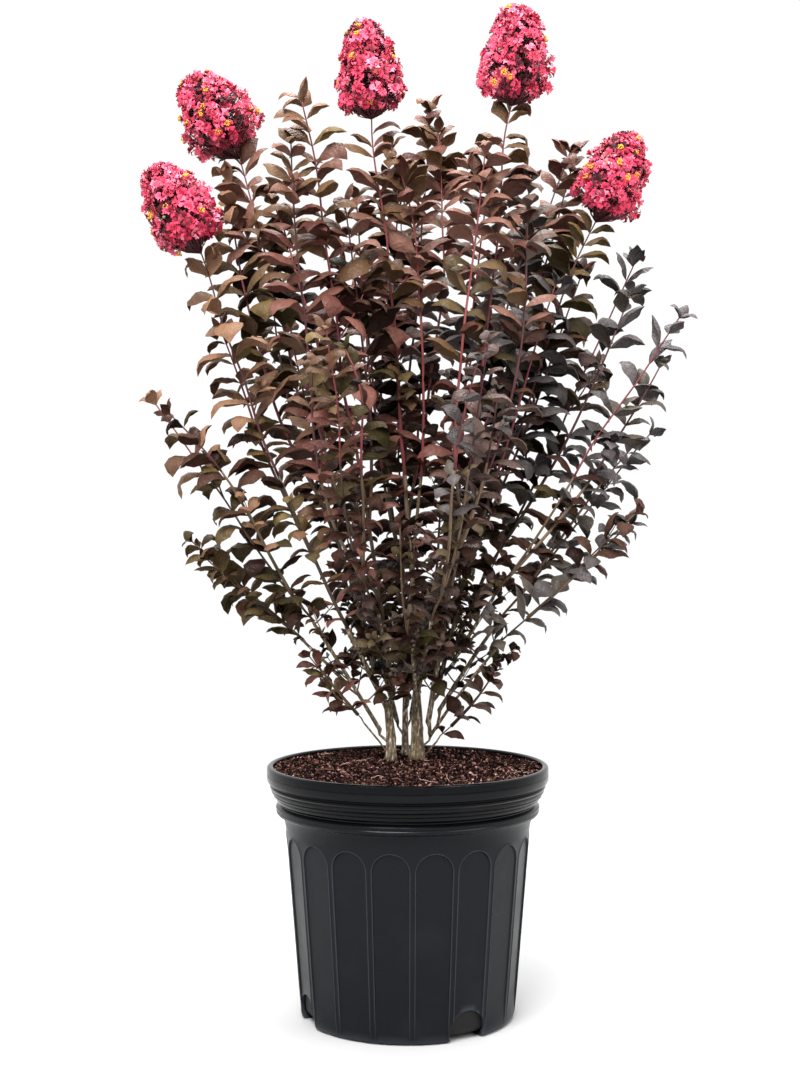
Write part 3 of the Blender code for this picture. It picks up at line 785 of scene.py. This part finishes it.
wandTops = {}
for plumeName in plumeNames:
    plain = plumeName.replace("foliage_", "")
    dice.seed("wand " + plain)
    rows = plumes[plumeName]
    tree = plumeTrees[plumeName]
    pile = leafPiles.setdefault(groupOf(plain), newPile())
    base, baseRadius = caneTops[trunkPlumes.get(plumeName, "bough_" + plain)]
    fill, extra, small = plumeSettings[plain]
    height = rows[-1, 2] - rows[0, 2]
    # The leader runs up the plume's middle.
    spine = np.concatenate([[base], rows[:, :3]])
    heights = np.linspace(base[2], rows[-1, 2], max(8, round(height / plumeSettings["wandStep"])))
    wand = smoothed(between(heights, spine[:, 2], spine).T)
    wand[0] = base
    for k in (0, 1):
        wand[1:, k] += [0.0022 * noise.noise(Vector((z * 17, len(plain), k * 5.1))) for z in wand[1:, 2]]
    wandTubes(wand, baseRadius * 0.88)
    wandTops[plain] = wand[-1]
    dressWand(pile, wand, small, "panicle_" + plain not in nodes)
    # Second wands leave the leader low down and run up beside it.
    turn = dice.uniform(0, math.tau)
    wands = [wand]
    for index in range(extra):
        turn += math.tau / extra + dice.gauss(0, 0.3)
        direction = np.array((math.cos(turn), math.sin(turn), 0.0))
        low, high = dice.uniform(*plumeSettings["wandFrom"]), dice.uniform(*plumeSettings["wandTo"])
        path = []
        for level in np.linspace(low, high, max(6, round(height * (high - low) / plumeSettings["wandStep"]))):
            centre = atLevel(wand, level)
            reach = reachFrom(tree, centre, direction, 0.012)
            grown = min(1.0, (level - low) * height / 0.11) ** 0.7
            path.append(centre + direction * plumeSettings["wandReach"] * reach * grown)
        path = smoothed(np.array(path))
        path[0] = atLevel(wand, low)
        wandTubes(path, plumeSettings["secondWand"])
        dressWand(pile, path, 0.92 * small, True)
        wands.append(path)
    # Side shoots, spaced up the wands and turned by the golden angle.
    count = max(2, round(plumeSettings["fill"] * fill * height))
    for index in range(count):
        turn += goldenAngle + dice.gauss(0, 0.2)
        level = (index + dice.uniform(0.2, 0.8)) / count * 0.90
        start = atLevel(dice.choice(wands), level)
        isHigh = start[2] > plumeSettings["highFrom"]
        if isHigh and dice.random() > plumeSettings["fillHigh"]:
            continue
        rise = math.radians(dice.uniform(*plumeSettings["shootRise"]))
        outward = np.array((math.cos(turn) * math.cos(rise), math.sin(turn) * math.cos(rise), math.sin(rise)))
        length = min(reachFrom(tree, start, outward, 0.03) - 0.010, plumeSettings["longest"]) * dice.uniform(0.8, 1.0)
        if length < plumeSettings["shortest"]:
            continue
        shoot = curvedPath(start, outward, length, 0.55, jitter(0.12))
        addTube(twigPile, shoot, (0.0008 + 0.005 * length, 0.00045), 5,
                dice.choice(twigSlots["red" if dice.random() < 0.25 + 0.6 * isHigh else "tan"]))
        middle = shoot[len(shoot) // 2]
        leafSize = leafSizeAt(middle[2]) * small * dice.uniform(*plumeSettings["shootLeaf"])
        dressShoot(pile, shoot, leafSettings["sideSpacing"], leafSize, tintFamily(middle, shadeDepthAt(middle)), False,
                   first=0.006)

# Small twigs low on the canes, with small leaves.
# Their leaves are mostly dark umber, partly painted shade low inside the crown.
lowTwigs = {"from": 0.300, "to": 0.46, "each": 0.013, "length": (0.022, 0.058), "leaf": (0.017, 0.031),
            "spacing": 0.0105, "families": ("umber", "umber", "umber", "umber", "dusk", "slate")}
for caneName in caneNames:
    dice.seed("twigs " + caneName)
    rows = canes[caneName]
    z = max(rows[0, 2] + 0.01, lowTwigs["from"]) + dice.uniform(0, lowTwigs["each"])
    turn = dice.uniform(0, math.tau)
    kind, plain = caneName.split("_", 1)
    pile = leafPiles[groupOf(plain) if kind == "bough" else "leavesMiddle"]
    while z < min(rows[-1, 2], lowTwigs["to"]):
        turn += goldenAngle + dice.gauss(0, 0.3)
        outward = np.array((math.cos(turn), math.sin(turn), dice.uniform(0.2, 0.9)))
        shoot = curvedPath(atHeight(rows, z)[:3], outward, dice.uniform(*lowTwigs["length"]), 0.5, jitter(0.25), 6)
        addTube(twigPile, shoot, (0.0009, 0.0004), 5, dice.choice(twigSlots["tan"]))
        family = dice.choice(lowTwigs["families"])
        dressShoot(pile, shoot, lowTwigs["spacing"], dice.uniform(*lowTwigs["leaf"]), family, False, first=0.008)
        z += lowTwigs["each"] * dice.uniform(0.6, 1.5)
print("leaves", sum(len(pile["points"]) for pile in leafPiles.values()))

for pieceName, pile in leafPiles.items():
    mine = [n for n in plumeNames if groupOf(n.replace("foliage_", "")) == pieceName]
    finishPiece(pileToPiece(pieceName, pile, leafMaterials), mine)


# Flower heads: crinkled petals on thin stalks, yellow stamens, a few green buds.

flowerSettings = {
    "florets": 250,
    # An inner layer of dark florets is painted shade deep in the head.
    "inner": 70,
    "leans": {"left_high": -22, "left_top": -22, "centre": -6, "right_inner": 3, "right_high": 14},    # degrees
    "outline": ((0.0, 0.06, 0.18, 0.35, 0.55, 0.75, 0.90, 1.0), (0.80, 0.96, 1.04, 0.99, 0.86, 0.68, 0.48, 0.22)),
    "foot": 0.06, "share": 0.86,    # where the florets start, and how much of the solid's height they fill
    "girths": {"left_high": 0.0300, "left_top": 0.0345, "centre": 0.0275, "right_inner": 0.0300,
               "right_high": 0.0300},
    "lobes": 0.36,
    "hollow": 0.16,                 # where the head sinks between its lobes, florets are few, and many are dark as painted shade
    "hollowSkip": 0.18, "hollowDark": 0.55,
    "petals": 6,
    "size": (0.0052, 0.0074),       # length of a petal
    "stamens": 0.070,               # share of florets that show them
    "filaments": 13,
    "buds": 9,
}
petalTints = ["#cb3656", "#d84f6d", "#e4718a", "#ab2641", "#7c1b2e", "#40111c"]
# The inner slots, the darkest tints, are painted shade for florets deep in the head and in its hollows.
petalSlots = {"outer": (0, 0, 0, 1, 1, 2, 3, 3, 4), "inner": (4, 5, 5, 5, 4)}
petalRows = ((0.12, 0.0, 0.0), (0.34, 0.42, 0.14), (1.05, 0.74, 0.34), (0.86, 1.0, 0.20))    # width, reach, lift


def makePetal(seed):
    petal = addShape(bpy.ops.mesh.primitive_grid_add, x_subdivisions=3, y_subdivisions=3, size=1)
    bpy.ops.object.mode_set(mode="EDIT")
    for row, (width, reach, lift) in enumerate(petalRows):
        pickPoints(lambda p: p.index // 4 == row)
        bpy.ops.transform.resize(value=(width, 1, 1), center_override=origin)
        bpy.ops.transform.translate(value=(0, reach - row / 3 + 0.5, lift))
        for column in range(4 if row > 1 else 0):
            ruffle = 0.22 * math.sin(column * 2.9 + seed * 1.3 + row * 1.9) * (row - 1) / 2
            movePoints(lambda p: p.index == row * 4 + column,
                       (0.04 * math.sin(seed + column), 0.11 * math.sin(seed * 2 + column * 3.1), ruffle))
    bpy.ops.object.mode_set(mode="OBJECT")
    return takeTemplate(petal)


petalTemplates = [makePetal(seed) for seed in range(5)]
petalPile, stamenPile, budPile = newPile(), newPile(), newPile()
ballTemplate = takeTemplate(addShape(bpy.ops.mesh.primitive_ico_sphere_add, subdivisions=1, radius=1))


def addBall(pile, centre, axes, slot):
    addToPile(pile, ballTemplate["points"] @ axes + centre, ballTemplate, slot)


def squareTo(direction):
    helper = np.array((0, 0, 1.0)) if abs(direction[2]) < 0.9 else np.array((1.0, 0, 0))
    across = unit(np.cross(helper, direction))
    return across, np.cross(direction, across)


def girthAt(plain, level):
    return flowerSettings["girths"][plain] * np.interp(level, *flowerSettings["outline"])


def stemUnder(axis, spot, drop):
    return between(max(axis[0, 2], spot[2] - drop), axis[:, 2], axis)


def addFloret(spot, normal, across, over, petalLength, slots):
    mainTint = dice.choice(slots)
    spin = dice.uniform(0, math.tau)
    for petal in range(flowerSettings["petals"]):
        out = swung(spin + math.tau * petal / flowerSettings["petals"] + dice.gauss(0, 0.14), across, over)
        lift = dice.uniform(-0.25, 0.95)
        forwardAxis = unit(out * math.cos(lift) + normal * math.sin(lift))
        side = unit(np.cross(forwardAxis, normal))
        up = np.cross(side, forwardAxis)
        size = petalLength * dice.uniform(0.85, 1.15)
        template = dice.choice(petalTemplates)
        slot = mainTint if dice.random() < 0.65 else dice.choice(slots)
        addToPile(petalPile, template["points"] @ (np.array([side * 0.80, forwardAxis, up]) * size) + spot,
                  template, slot)


def addStamens(spot, normal, across, over):
    for k in range(flowerSettings["filaments"]):
        tilt = 0.10 + 0.34 * math.sqrt(k / flowerSettings["filaments"])
        end = spot + unit(normal + tilt * swung(k * 2.4, across, over)) * dice.uniform(0.0058, 0.0082)
        addTube(stamenPile, np.array([spot, end]), (0.00022, 0.00018), 3, 1)
        addBall(stamenPile, end, np.array([across, over, normal]) * 0.00085, 0)


for seed, headName in enumerate(panicleNames):
    plain = headName.replace("panicle_", "")
    rows = spineOf(headName, 0.008, 0.002)
    axis = np.concatenate([[wandTops[plain]], rows[:, :3]])
    addTube(twigPile, axis[:-1], (0.0011, 0.0005), 6, twigSlots["red"][0])
    dice.seed("head " + headName)
    # The head leans out about its own middle.
    lean = math.radians(flowerSettings["leans"][plain])
    middle, half = (rows[0, :3] + rows[-1, :3]) / 2, (rows[-1, :3] - rows[0, :3]) / 2
    half = np.array((half[0] * math.cos(lean) + half[2] * math.sin(lean), half[1],
                     half[2] * math.cos(lean) - half[0] * math.sin(lean)))
    headLow, headHigh = middle - half, middle + half
    headRun = headHigh - headLow
    headUp = unit(headRun)
    headAcross, headOver = squareTo(headUp)
    for index in range(flowerSettings["florets"] + flowerSettings["inner"]):
        # A blunt cone about the head's own axis, lobed, with florets spread evenly over it.
        inner = index >= flowerSettings["florets"]
        share = (index + 0.5) / flowerSettings["florets"]
        if inner:
            share = (index - flowerSettings["florets"] + 0.5) / flowerSettings["inner"]
        level = np.interp(share, (0, 0.09, 0.93, 1), (0.0, 0.05, 0.93, 1.0))
        turn = index * goldenAngle + dice.gauss(0, 0.15)
        around = swung(turn, headAcross, headOver)
        girth = girthAt(plain, level)
        lobe = noise.noise(Vector((math.cos(turn) * 2.3, math.sin(turn) * 2.3, level * 6.5 + seed * 7)))
        girth *= 1 + flowerSettings["lobes"] * lobe
        hollow = lobe < -flowerSettings["hollow"] and level > 0.12
        if hollow and not inner and dice.random() < flowerSettings["hollowSkip"]:
            continue
        girth *= dice.uniform(0.45, 0.66) if inner else dice.uniform(0.86, 1.0)
        if level < 0.05:
            girth *= dice.uniform(0.3, 1.0)
        spot = headLow + headRun * (flowerSettings["foot"] + flowerSettings["share"] * level) + around * girth
        direction = unit(around * 0.9 + headUp * np.interp(level, (0, 0.2, 0.8, 1), (-0.4, 0.2, 0.5, 1.6)))
        normal = unit(direction + jitter(0.30))
        stem = stemUnder(axis, spot, 0.022)
        bend = (stem + spot) / 2 + np.array((0, 0, -0.002))
        addTube(budPile, np.array([stem, bend, spot - normal * 0.002]), np.array([0.0006, 0.0005, 0.0005]), 4, 1)
        across, over = squareTo(normal)
        petalLength = dice.uniform(*flowerSettings["size"])
        # Inner florets, and many in the hollows, take the dark tints as painted shade.
        dark = inner or (hollow and dice.random() < flowerSettings["hollowDark"])
        addFloret(spot, normal, across, over, petalLength, petalSlots["inner" if dark else "outer"])
        if not inner and dice.random() < flowerSettings["stamens"]:
            addStamens(spot, normal, across, over)
    for index in range(flowerSettings["buds"]):
        level = dice.uniform(0.03, 0.97)
        girth = girthAt(plain, level) * 1.04
        direction = swung(index * goldenAngle, headAcross, headOver)
        spot = headLow + headRun * (flowerSettings["foot"] + flowerSettings["share"] * level) + direction * girth
        size = dice.uniform(0.0012, 0.0019)
        across, over = squareTo(direction)
        stem = stemUnder(axis, spot, 0.018)
        addTube(budPile, np.array([stem, (stem + spot) / 2, spot]), np.array([0.0007, 0.0005, 0.0004]), 4, 1)
        addBall(budPile, spot, np.array([across, over, direction * 1.25]) * size, dice.choice((0, 0, 2)))

# Thin crape-like petals: soft and matt, with fine crinkles and a light bloom.
petalMaterials = [grainedSkin(f"coral petal {i + 1}", code, 0.55, {"Scale": 900.0, "Detail": 2.0, "Distortion": 0.6},
                              (0.5, 0.0004), (0.45, 0.7),
                              {"Specular IOR Level": 0.22, "Sheen Weight": 0.12, "Sheen Roughness": 0.5})
                  for i, code in enumerate(petalTints)]
finishPiece(pileToPiece("petals", petalPile, petalMaterials), panicleNames)
stamenMaterials = [plainSkin("pollen dusted anther", "#d79c34", 0.7, 1500.0),
                   plainSkin("stamen filament", "#d9a24e", 0.5, 900.0)]
finishPiece(pileToPiece("stamens", stamenPile, stamenMaterials))
budMaterials = [plainSkin("green calyx", "#6d7a3c", 0.5, 700.0), plainSkin("flower stalk", "#4a2226", 0.55, 500.0),
                plainSkin("red bud", "#9a3038", 0.5, 700.0)]
finishPiece(pileToPiece("buds", budPile, budMaterials))
# Young twig skin: smooth and slightly waxy, red where it is new.
twigMaterials = [plainSkin(f"twig skin {i + 1}", code, 0.5, 420.0) for i, code in enumerate(twigTints)]
finishPiece(pileToPiece("twigs", twigPile, twigMaterials))
print("flower heads made")


# Pot: a flute panel is shaped once and set round eighteen times, then the rim is drawn up from it.

potSettings = {
    "flutes": 18, "offset": -8.0, "fluteHalf": 8.7,        # degrees
    "baseRadius": 0.1040, "topRadius": 0.1185, "topZ": 0.1810, "footZ": 0.0055,
    "step": 0.0009, "bead": 0.00045,                       # depth of a flute, height of the bead round it
    "archGap": 0.0030,
    "drains": (2, 6, 11, 15), "drainRadius": 0.0195, "drainZ": 0.0085, "drainTurn": 4.5,
    "sharp": 32,
}
# Radius and height in millimetres, up the outside from the fluted wall and over the lip.
rimProfile = [
    (119.0, 185.0), (119.9, 189.1), (120.9, 192.7), (122.2, 195.0), (124.4, 196.0), (126.4, 196.7), (127.6, 198.1),
    (127.9, 199.8), (127.5, 200.5), (127.6, 201.2), (128.3, 202.0), (128.3, 203.9), (127.2, 205.2), (125.4, 205.9),
    (124.5, 206.6), (124.6, 207.5), (126.2, 208.5), (127.6, 209.9), (128.3, 211.7), (128.2, 212.5), (128.9, 213.1),
    (130.3, 213.9), (131.0, 215.7), (130.8, 216.5), (131.5, 217.1), (132.6, 218.1), (133.0, 220.2), (132.7, 221.0),
    (133.3, 221.6), (134.1, 222.8), (134.0, 224.3), (133.0, 225.1), (132.8, 226.0), (134.2, 226.8), (136.0, 227.7),
    (136.9, 229.8), (137.0, 234.2), (136.6, 234.6), (136.6, 235.1), (137.0, 235.5), (137.0, 240.3), (136.5, 241.9),
    (135.4, 242.8), (134.0, 243.0), (132.4, 242.9), (131.4, 242.3), (131.0, 241.1), (130.8, 235.6), (129.4, 227.5),
    (122.8, 213.4), (120.6, 206.3), (115.3, 181.0), (101.4, 8.5), (98.0, 3.5), (60.0, 3.2),
]
footProfile = [(0.1036, 0.0022), (0.1020, 0.0006), (0.0998, 0.0), (0.0900, 0.0), (0.0880, 0.0012), (0.0500, 0.0014)]
# Share of the flute's half width from its edge, how far it is sunk, and height of the bead round it.
fluteOffsets = [(-1.0, 1, 0), (-0.78, 1, 0), (-0.56, 1, 0), (-0.36, 1, 0), (-0.20, 1, 0), (-0.12, 1, 0),
                (-0.085, 1, 0), (-0.050, 0.9, 0.2), (-0.022, 0.25, 0.9), (0.004, 0, 1), (0.030, 0, 0.7),
                (0.060, 0, 0), (None, 0, 0)]


def wallRadius(z):
    return potSettings["baseRadius"] + (potSettings["topRadius"] - potSettings["baseRadius"]) * z / potSettings["topZ"]


def fluteGrid():
    # Lines that run up one side of the flute, round its arch and down the other, at set distances
    # from its edge, so that the step follows the arch. The last is the panel's own edge.
    half = math.radians(potSettings["fluteHalf"])
    cell = math.pi / potSettings["flutes"]
    archRadius = potSettings["topRadius"] * math.sin(half)
    topZ, footZ = potSettings["topZ"], potSettings["footZ"]
    archZ = topZ - archRadius - potSettings["archGap"]
    straight, curved = 22, 20
    grid = []
    for offset, sunk, bead in fluteOffsets:
        isEdge = offset is None
        reach = 1 if isEdge else 1 + offset
        line = []
        for k in range(straight * 2 + curved + 1):
            sweep = math.pi * (k - straight) / curved
            if k <= straight or k >= straight + curved:
                side = -1 if k <= straight else 1
                climb = k / straight if side < 0 else (2 * straight + curved - k) / straight
                z = footZ + (archZ - footZ) * climb
                angle = side * (cell if isEdge else half * reach)
            elif not isEdge:
                z = archZ + archRadius * reach * math.sin(sweep)
                angle = -half * reach * math.cos(sweep)
            elif sweep < math.pi * 0.25:
                z, angle = archZ + (topZ - archZ) * sweep / (math.pi * 0.25), -cell
            elif sweep > math.pi * 0.75:
                z, angle = archZ + (topZ - archZ) * (math.pi - sweep) / (math.pi * 0.25), cell
            else:
                z, angle = topZ, -cell + 2 * cell * (sweep / math.pi - 0.25) / 0.5
            cone = wallRadius(z)
            shallow = min(1, max(0, (z - 0.006) / 0.022))      # the flutes run out above the round foot
            chord = cone * math.cos(half) / math.cos(min(abs(angle), half)) - potSettings["step"]
            radius = cone + ((chord - cone) * sunk + potSettings["bead"] * bead) * shallow ** 0.6
            line.append((radius * math.sin(angle), -radius * math.cos(angle), z))
        grid.append(line)
    return grid


def drawRings(radius, height, profile):
    # Draws the picked ring of points through a profile of radius and height, and closes it.
    for nextRadius, nextHeight in profile:
        bpy.ops.mesh.extrude_region_move(TRANSFORM_OT_translate={"value": (0, 0, nextHeight - height)})
        bpy.ops.transform.resize(value=(nextRadius / radius, nextRadius / radius, 1), center_override=origin)
        radius, height = nextRadius, nextHeight
    bpy.ops.mesh.merge(type="CENTER")


grid = fluteGrid()
width = len(grid[0])
panelFaces = [(r * width + c, (r + 1) * width + c, (r + 1) * width + c + 1, r * width + c + 1)
              for r in range(len(grid) - 1) for c in range(width - 1)]
panel = bpy.data.meshes.new("pot")
panel.from_pydata([p for line in grid for p in line], [], panelFaces)
potPiece = bpy.data.objects.new("pot_shell", panel)
bpy.context.scene.collection.objects.link(potPiece)
pickOnly(potPiece)
bpy.ops.object.mode_set(mode="EDIT")
bpy.ops.mesh.select_all(action="SELECT")
bpy.ops.transform.rotate(value=-math.radians(potSettings["offset"]), orient_axis="Z", center_override=origin)
bpy.ops.mesh.select_all(action="SELECT")
bpy.ops.mesh.spin(steps=potSettings["flutes"] - 1, dupli=True, center=origin, axis=(0, 0, 1),
                  angle=math.tau * (potSettings["flutes"] - 1) / potSettings["flutes"])
bpy.ops.mesh.select_all(action="SELECT")
bpy.ops.mesh.remove_doubles(threshold=0.00004)
faceOutwards()
bpy.ops.mesh.select_mode(type="VERT")
pickPoints(lambda p: p.co.z > potSettings["topZ"] - 0.00002)
drawRings(potSettings["topRadius"], potSettings["topZ"], [(r / 1000, h / 1000) for r, h in rimProfile])
pickPoints(lambda p: abs(p.co.z - potSettings["footZ"]) < 0.00002 and math.hypot(p.co.x, p.co.y) > 0.1015)
drawRings(wallRadius(potSettings["footZ"]), potSettings["footZ"], footProfile)
faceOutwards()
bpy.ops.object.mode_set(mode="OBJECT")

for index in potSettings["drains"]:
    angle = math.radians(potSettings["offset"]) + index * math.tau / potSettings["flutes"]
    drainPlace = (potSettings["baseRadius"] * math.sin(angle), -potSettings["baseRadius"] * math.cos(angle),
                  potSettings["drainZ"])
    cutter = addShape(bpy.ops.mesh.primitive_cylinder_add, vertices=40, radius=potSettings["drainRadius"], depth=0.034,
                      location=drainPlace, rotation=(math.radians(90), math.radians(potSettings["drainTurn"]), angle))
    bpy.context.view_layer.objects.active = potPiece
    cut = potPiece.modifiers.new("drain", "BOOLEAN")
    cut.object = cutter
    cut.solver = "EXACT"
    bpy.ops.object.modifier_apply(modifier="drain")
    bpy.data.objects.remove(cutter)
pickOnly(potPiece)
bpy.ops.object.shade_smooth_by_angle(angle=math.radians(potSettings["sharp"]))
evened = potPiece.modifiers.new("evened", "WEIGHTED_NORMAL")
evened.keep_sharp = True
bpy.ops.object.modifier_apply(modifier="evened")

# Blow-moulded polythene: satin black with a cool cast, a fine pebble from the mould and a little dust.
plasticSettings = {"black": "#090c10", "dust": "#2c2d33", "pebbleMm": 1.1, "roughness": 0.34, "worn": "#565c64",
                   "rim": "#040507", "rimFrom": 0.196, "rimTo": 0.206}
plastic, plasticShader, coords = newMaterial("blow moulded polythene", plasticSettings["black"],
                                             plasticSettings["roughness"], {"IOR": 1.5, "Specular IOR Level": 0.14})
pebble = addNode(plastic, "TexNoise", {"Scale": 1000 / plasticSettings["pebbleMm"], "Detail": 2.0},
                 {"Vector": coords["Object"]})
cloud = addNode(plastic, "TexNoise", {"Scale": 16.0, "Detail": 5.0, "Roughness": 0.65}, {"Vector": coords["Object"]})
dustShare = addNode(plastic, "MapRange", {"From Min": 0.52, "From Max": 0.80, "To Min": 0.0, "To Max": 0.20},
                    {"Value": cloud})
dusty = addNode(plastic, "MixRGB", {"Color1": hexColour(plasticSettings["black"]),
                                    "Color2": hexColour(plasticSettings["dust"])}, {"Fac": dustShare})
# Painted highlight: the convex edges of the flutes, below the rim, are painted pale.
paintedEdgeHighlight = addNode(plastic, "MapRange", {"From Min": 0.512, "From Max": 0.60, "To Min": 0.0, "To Max": 0.55},
                {"Value": addNode(plastic, "NewGeometry").outputs["Pointiness"]})      # painted highlight: pale lines along the convex flute edges
level = addNode(plastic, "SeparateXYZ", {}, {"Vector": coords["Object"]}).outputs["Z"]
below = addNode(plastic, "Math", {"operation": "LESS_THAN", 1: potSettings["topZ"]}, {0: level})
edgeHighlightShare = addNode(plastic, "Math", {"operation": "MULTIPLY"}, {0: paintedEdgeHighlight, 1: below})
edgeHighlighted = addNode(plastic, "MixRGB", {"Color2": hexColour(plasticSettings["worn"])}, {"Fac": edgeHighlightShare, "Color1": dusty})
# The rim is painted blacker as painted shade, and made shinier by a lower roughness.
rimShadeAndPolish = addNode(plastic, "MapRange", {"From Min": plasticSettings["rimFrom"], "From Max": plasticSettings["rimTo"],
                                        "To Min": 0.0, "To Max": 1.0}, {"Value": level})
rimShaded = addNode(plastic, "MixRGB", {"Color2": hexColour(plasticSettings["rim"])}, {"Fac": rimShadeAndPolish, "Color1": edgeHighlighted})
rough = addNode(plastic, "MapRange", {"From Min": 0.3, "From Max": 0.75, "To Min": 0.24, "To Max": 0.42},
                {"Value": cloud})
polished = addNode(plastic, "Math", {"operation": "MULTIPLY_ADD", 1: -0.14}, {0: rimShadeAndPolish, 2: rough})
swell = addNode(plastic, "TexNoise", {"Scale": 45.0, "Detail": 2.0}, {"Vector": coords["Object"]})
softBump = addNode(plastic, "Bump", {"Strength": 0.13, "Distance": 0.0020}, {"Height": swell})
fineBump = addNode(plastic, "Bump", {"Strength": 0.12, "Distance": 0.0003}, {"Height": pebble, "Normal": softBump})
setNode(plasticShader, links={"Base Color": rimShaded, "Roughness": polished, "Normal": fineBump})
potPiece.data.materials.clear()
potPiece.data.materials.append(plastic)
finishPiece(potPiece, ["pot"])


# Potting mix: a bed of composted bark with thousands of chips and a few fibres on it.

mixSettings = {
    "radius": 0.1296, "edgeZ": 0.2389, "topZ": 0.2429, "flat": 0.060,
    "drawnZ": 0.2387, "ringZ": 0.2388, "raisedFrom": 0.23865,      # where it is drawn flat, before its top is raised
    "rings": 40,
    "shadeBelow": 0.2336,
    "chips": 10500, "chipSize": (0.0010, 0.0024), "bigChips": 0.05,
    "chipSpans": ((0.9, 1.7), (0.6, 1.0), (0.35, 0.7)),            # length, width and thickness over its size
    "fibres": 34, "fibreLength": (0.010, 0.036), "fibreStart": 0.125, "fibreLimit": 0.128,
}
mixSides = [(0.1293, 0.2356), (0.1278, 0.2275), (0.1213, 0.2133), (0.1190, 0.2062), (0.1138, 0.1808), (0.1002, 0.0090),
            (0.0960, 0.0045), (0.0500, 0.0045)]


def mixHeight(x, y):
    run = min(1, max(0, (math.hypot(x, y) - mixSettings["flat"]) / (mixSettings["radius"] - mixSettings["flat"])))
    level = mixSettings["topZ"] + (mixSettings["edgeZ"] - mixSettings["topZ"]) * run
    lumps = 0.0011 * noise.noise(Vector((x * 60, y * 60, 3))) + 0.0006 * noise.noise(Vector((x * 190, y * 190, 7)))
    return level + lumps


bed = addShape(bpy.ops.mesh.primitive_circle_add, vertices=128, radius=mixSettings["radius"], fill_type="NOTHING",
               location=(0, 0, mixSettings["drawnZ"]))
bed.name = "potting_mix_bed"
bpy.ops.object.transform_apply(location=True)
bpy.ops.object.mode_set(mode="EDIT")
bpy.ops.mesh.select_mode(type="VERT")
bpy.ops.mesh.select_all(action="SELECT")
drawRings(mixSettings["radius"], mixSettings["drawnZ"], mixSides)
pickPoints(lambda p: abs(p.co.z - mixSettings["drawnZ"]) < 0.00002)
bedRings = [(mixSettings["radius"] * (1 - step / mixSettings["rings"]), mixSettings["ringZ"])
            for step in range(1, mixSettings["rings"])]
drawRings(mixSettings["radius"], mixSettings["drawnZ"], bedRings)
faceOutwards()
bpy.ops.object.mode_set(mode="OBJECT")
for point in bed.data.vertices:
    if point.co.z > mixSettings["raisedFrom"]:
        point.co.z = mixHeight(point.co.x, point.co.y)
bed.data.shade_smooth()

# Moist composted bark: dark and crumbly, matt, with browner crumbs.
loam, loamShader, coords = newMaterial("composted bark", "#2a1d1b", 0.92, {"Specular IOR Level": 0.10})
crumbs = addNode(loam, "TexNoise", {"Scale": 420.0, "Detail": 5.0, "Roughness": 0.7}, {"Vector": coords["Object"]})
loamTone = setRamp(addNode(loam, "ValToRGB", {}, {"Fac": crumbs}), [(0.38, "#0c0807"), (0.66, "#2a1c1b")])
loamBump = addNode(loam, "Bump", {"Strength": 0.9, "Distance": 0.0012}, {"Height": crumbs})
setNode(loamShader, links={"Base Color": loamTone, "Normal": loamBump})
bed.data.materials.append(loam)
bed.data.materials.append(grainedSkin("wet bark in shade", "#0b0908", 0.8, {"Scale": 300.0}, (0.5, 0.001)))
for face in bed.data.polygons:
    face.material_index = int(face.center.z < mixSettings["shadeBelow"])
finishPiece(bed, ["potting_mix"])


def makeChip(seed):
    chip = addShape(bpy.ops.mesh.primitive_cube_add, size=1)
    bpy.ops.object.mode_set(mode="EDIT")
    for corner in range(8):
        movePoints(lambda p: p.index == corner,
                   [0.30 * noise.noise(Vector((seed * 3.1, corner * 1.7, k * 5.3))) for k in range(3)])
    bpy.ops.object.mode_set(mode="OBJECT")
    return takeTemplate(chip)


chipTemplates = [makeChip(seed) for seed in range(6)]
chipTints = ["#130c0b", "#211513", "#36241f", "#573c36", "#0b0706", "#835f56", "#a88b82", "#472a24"]
chipWeights = (7, 5, 4.5, 4.2, 9, 2.3, 0.25, 1.8)
chipPile = newPile()
for _ in range(mixSettings["chips"]):
    spread = mixSettings["radius"] * math.sqrt(dice.random())
    turn = dice.uniform(0, math.tau)
    x, y = spread * math.cos(turn), spread * math.sin(turn)
    size = dice.uniform(*mixSettings["chipSize"]) * (1.5 if dice.random() < mixSettings["bigChips"] else 1)
    axes, _ = np.linalg.qr(np.array([jitter(1) for _ in range(3)]))
    if np.linalg.det(axes) < 0:
        axes[0] *= -1
    sizes = [[size * dice.uniform(*span)] for span in mixSettings["chipSpans"]]
    template = dice.choice(chipTemplates)
    centre = np.array((x, y, mixHeight(x, y) + dice.uniform(-0.0002, 0.0011)))
    slot = dice.choices(range(8), chipWeights)[0]
    addToPile(chipPile, template["points"] @ (axes * np.array(sizes)) + centre, template, slot)
for _ in range(mixSettings["fibres"]):
    spread = mixSettings["fibreStart"] * math.sqrt(dice.random())
    turn = dice.uniform(0, math.tau)
    start = np.array((spread * math.cos(turn), spread * math.sin(turn)))
    heading = dice.uniform(0, math.tau)
    bend = dice.uniform(-1.6, 1.6)
    length = dice.uniform(*mixSettings["fibreLength"])
    path = []
    for k in range(8):
        start = start + length / 8 * np.array((math.cos(heading), math.sin(heading)))
        heading += bend / 8
        if np.linalg.norm(start) > mixSettings["fibreLimit"]:
            break
        path.append((*start, mixHeight(*start) + 0.0011 + 0.0015 * math.sin(math.pi * k / 7) * dice.random()))
    if len(path) > 3:
        addTube(chipPile, np.array(path), (0.00042, 0.0002), 5, dice.choice((5, 6, 7, 3)))
chipMaterials = [plainSkin(f"bark chip {i + 1}", code, 0.85, 900.0, 0.02) for i, code in enumerate(chipTints)]
finishPiece(pileToPiece("bark_chips", chipPile, chipMaterials, smooth=False))
print("mix laid")

low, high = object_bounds()
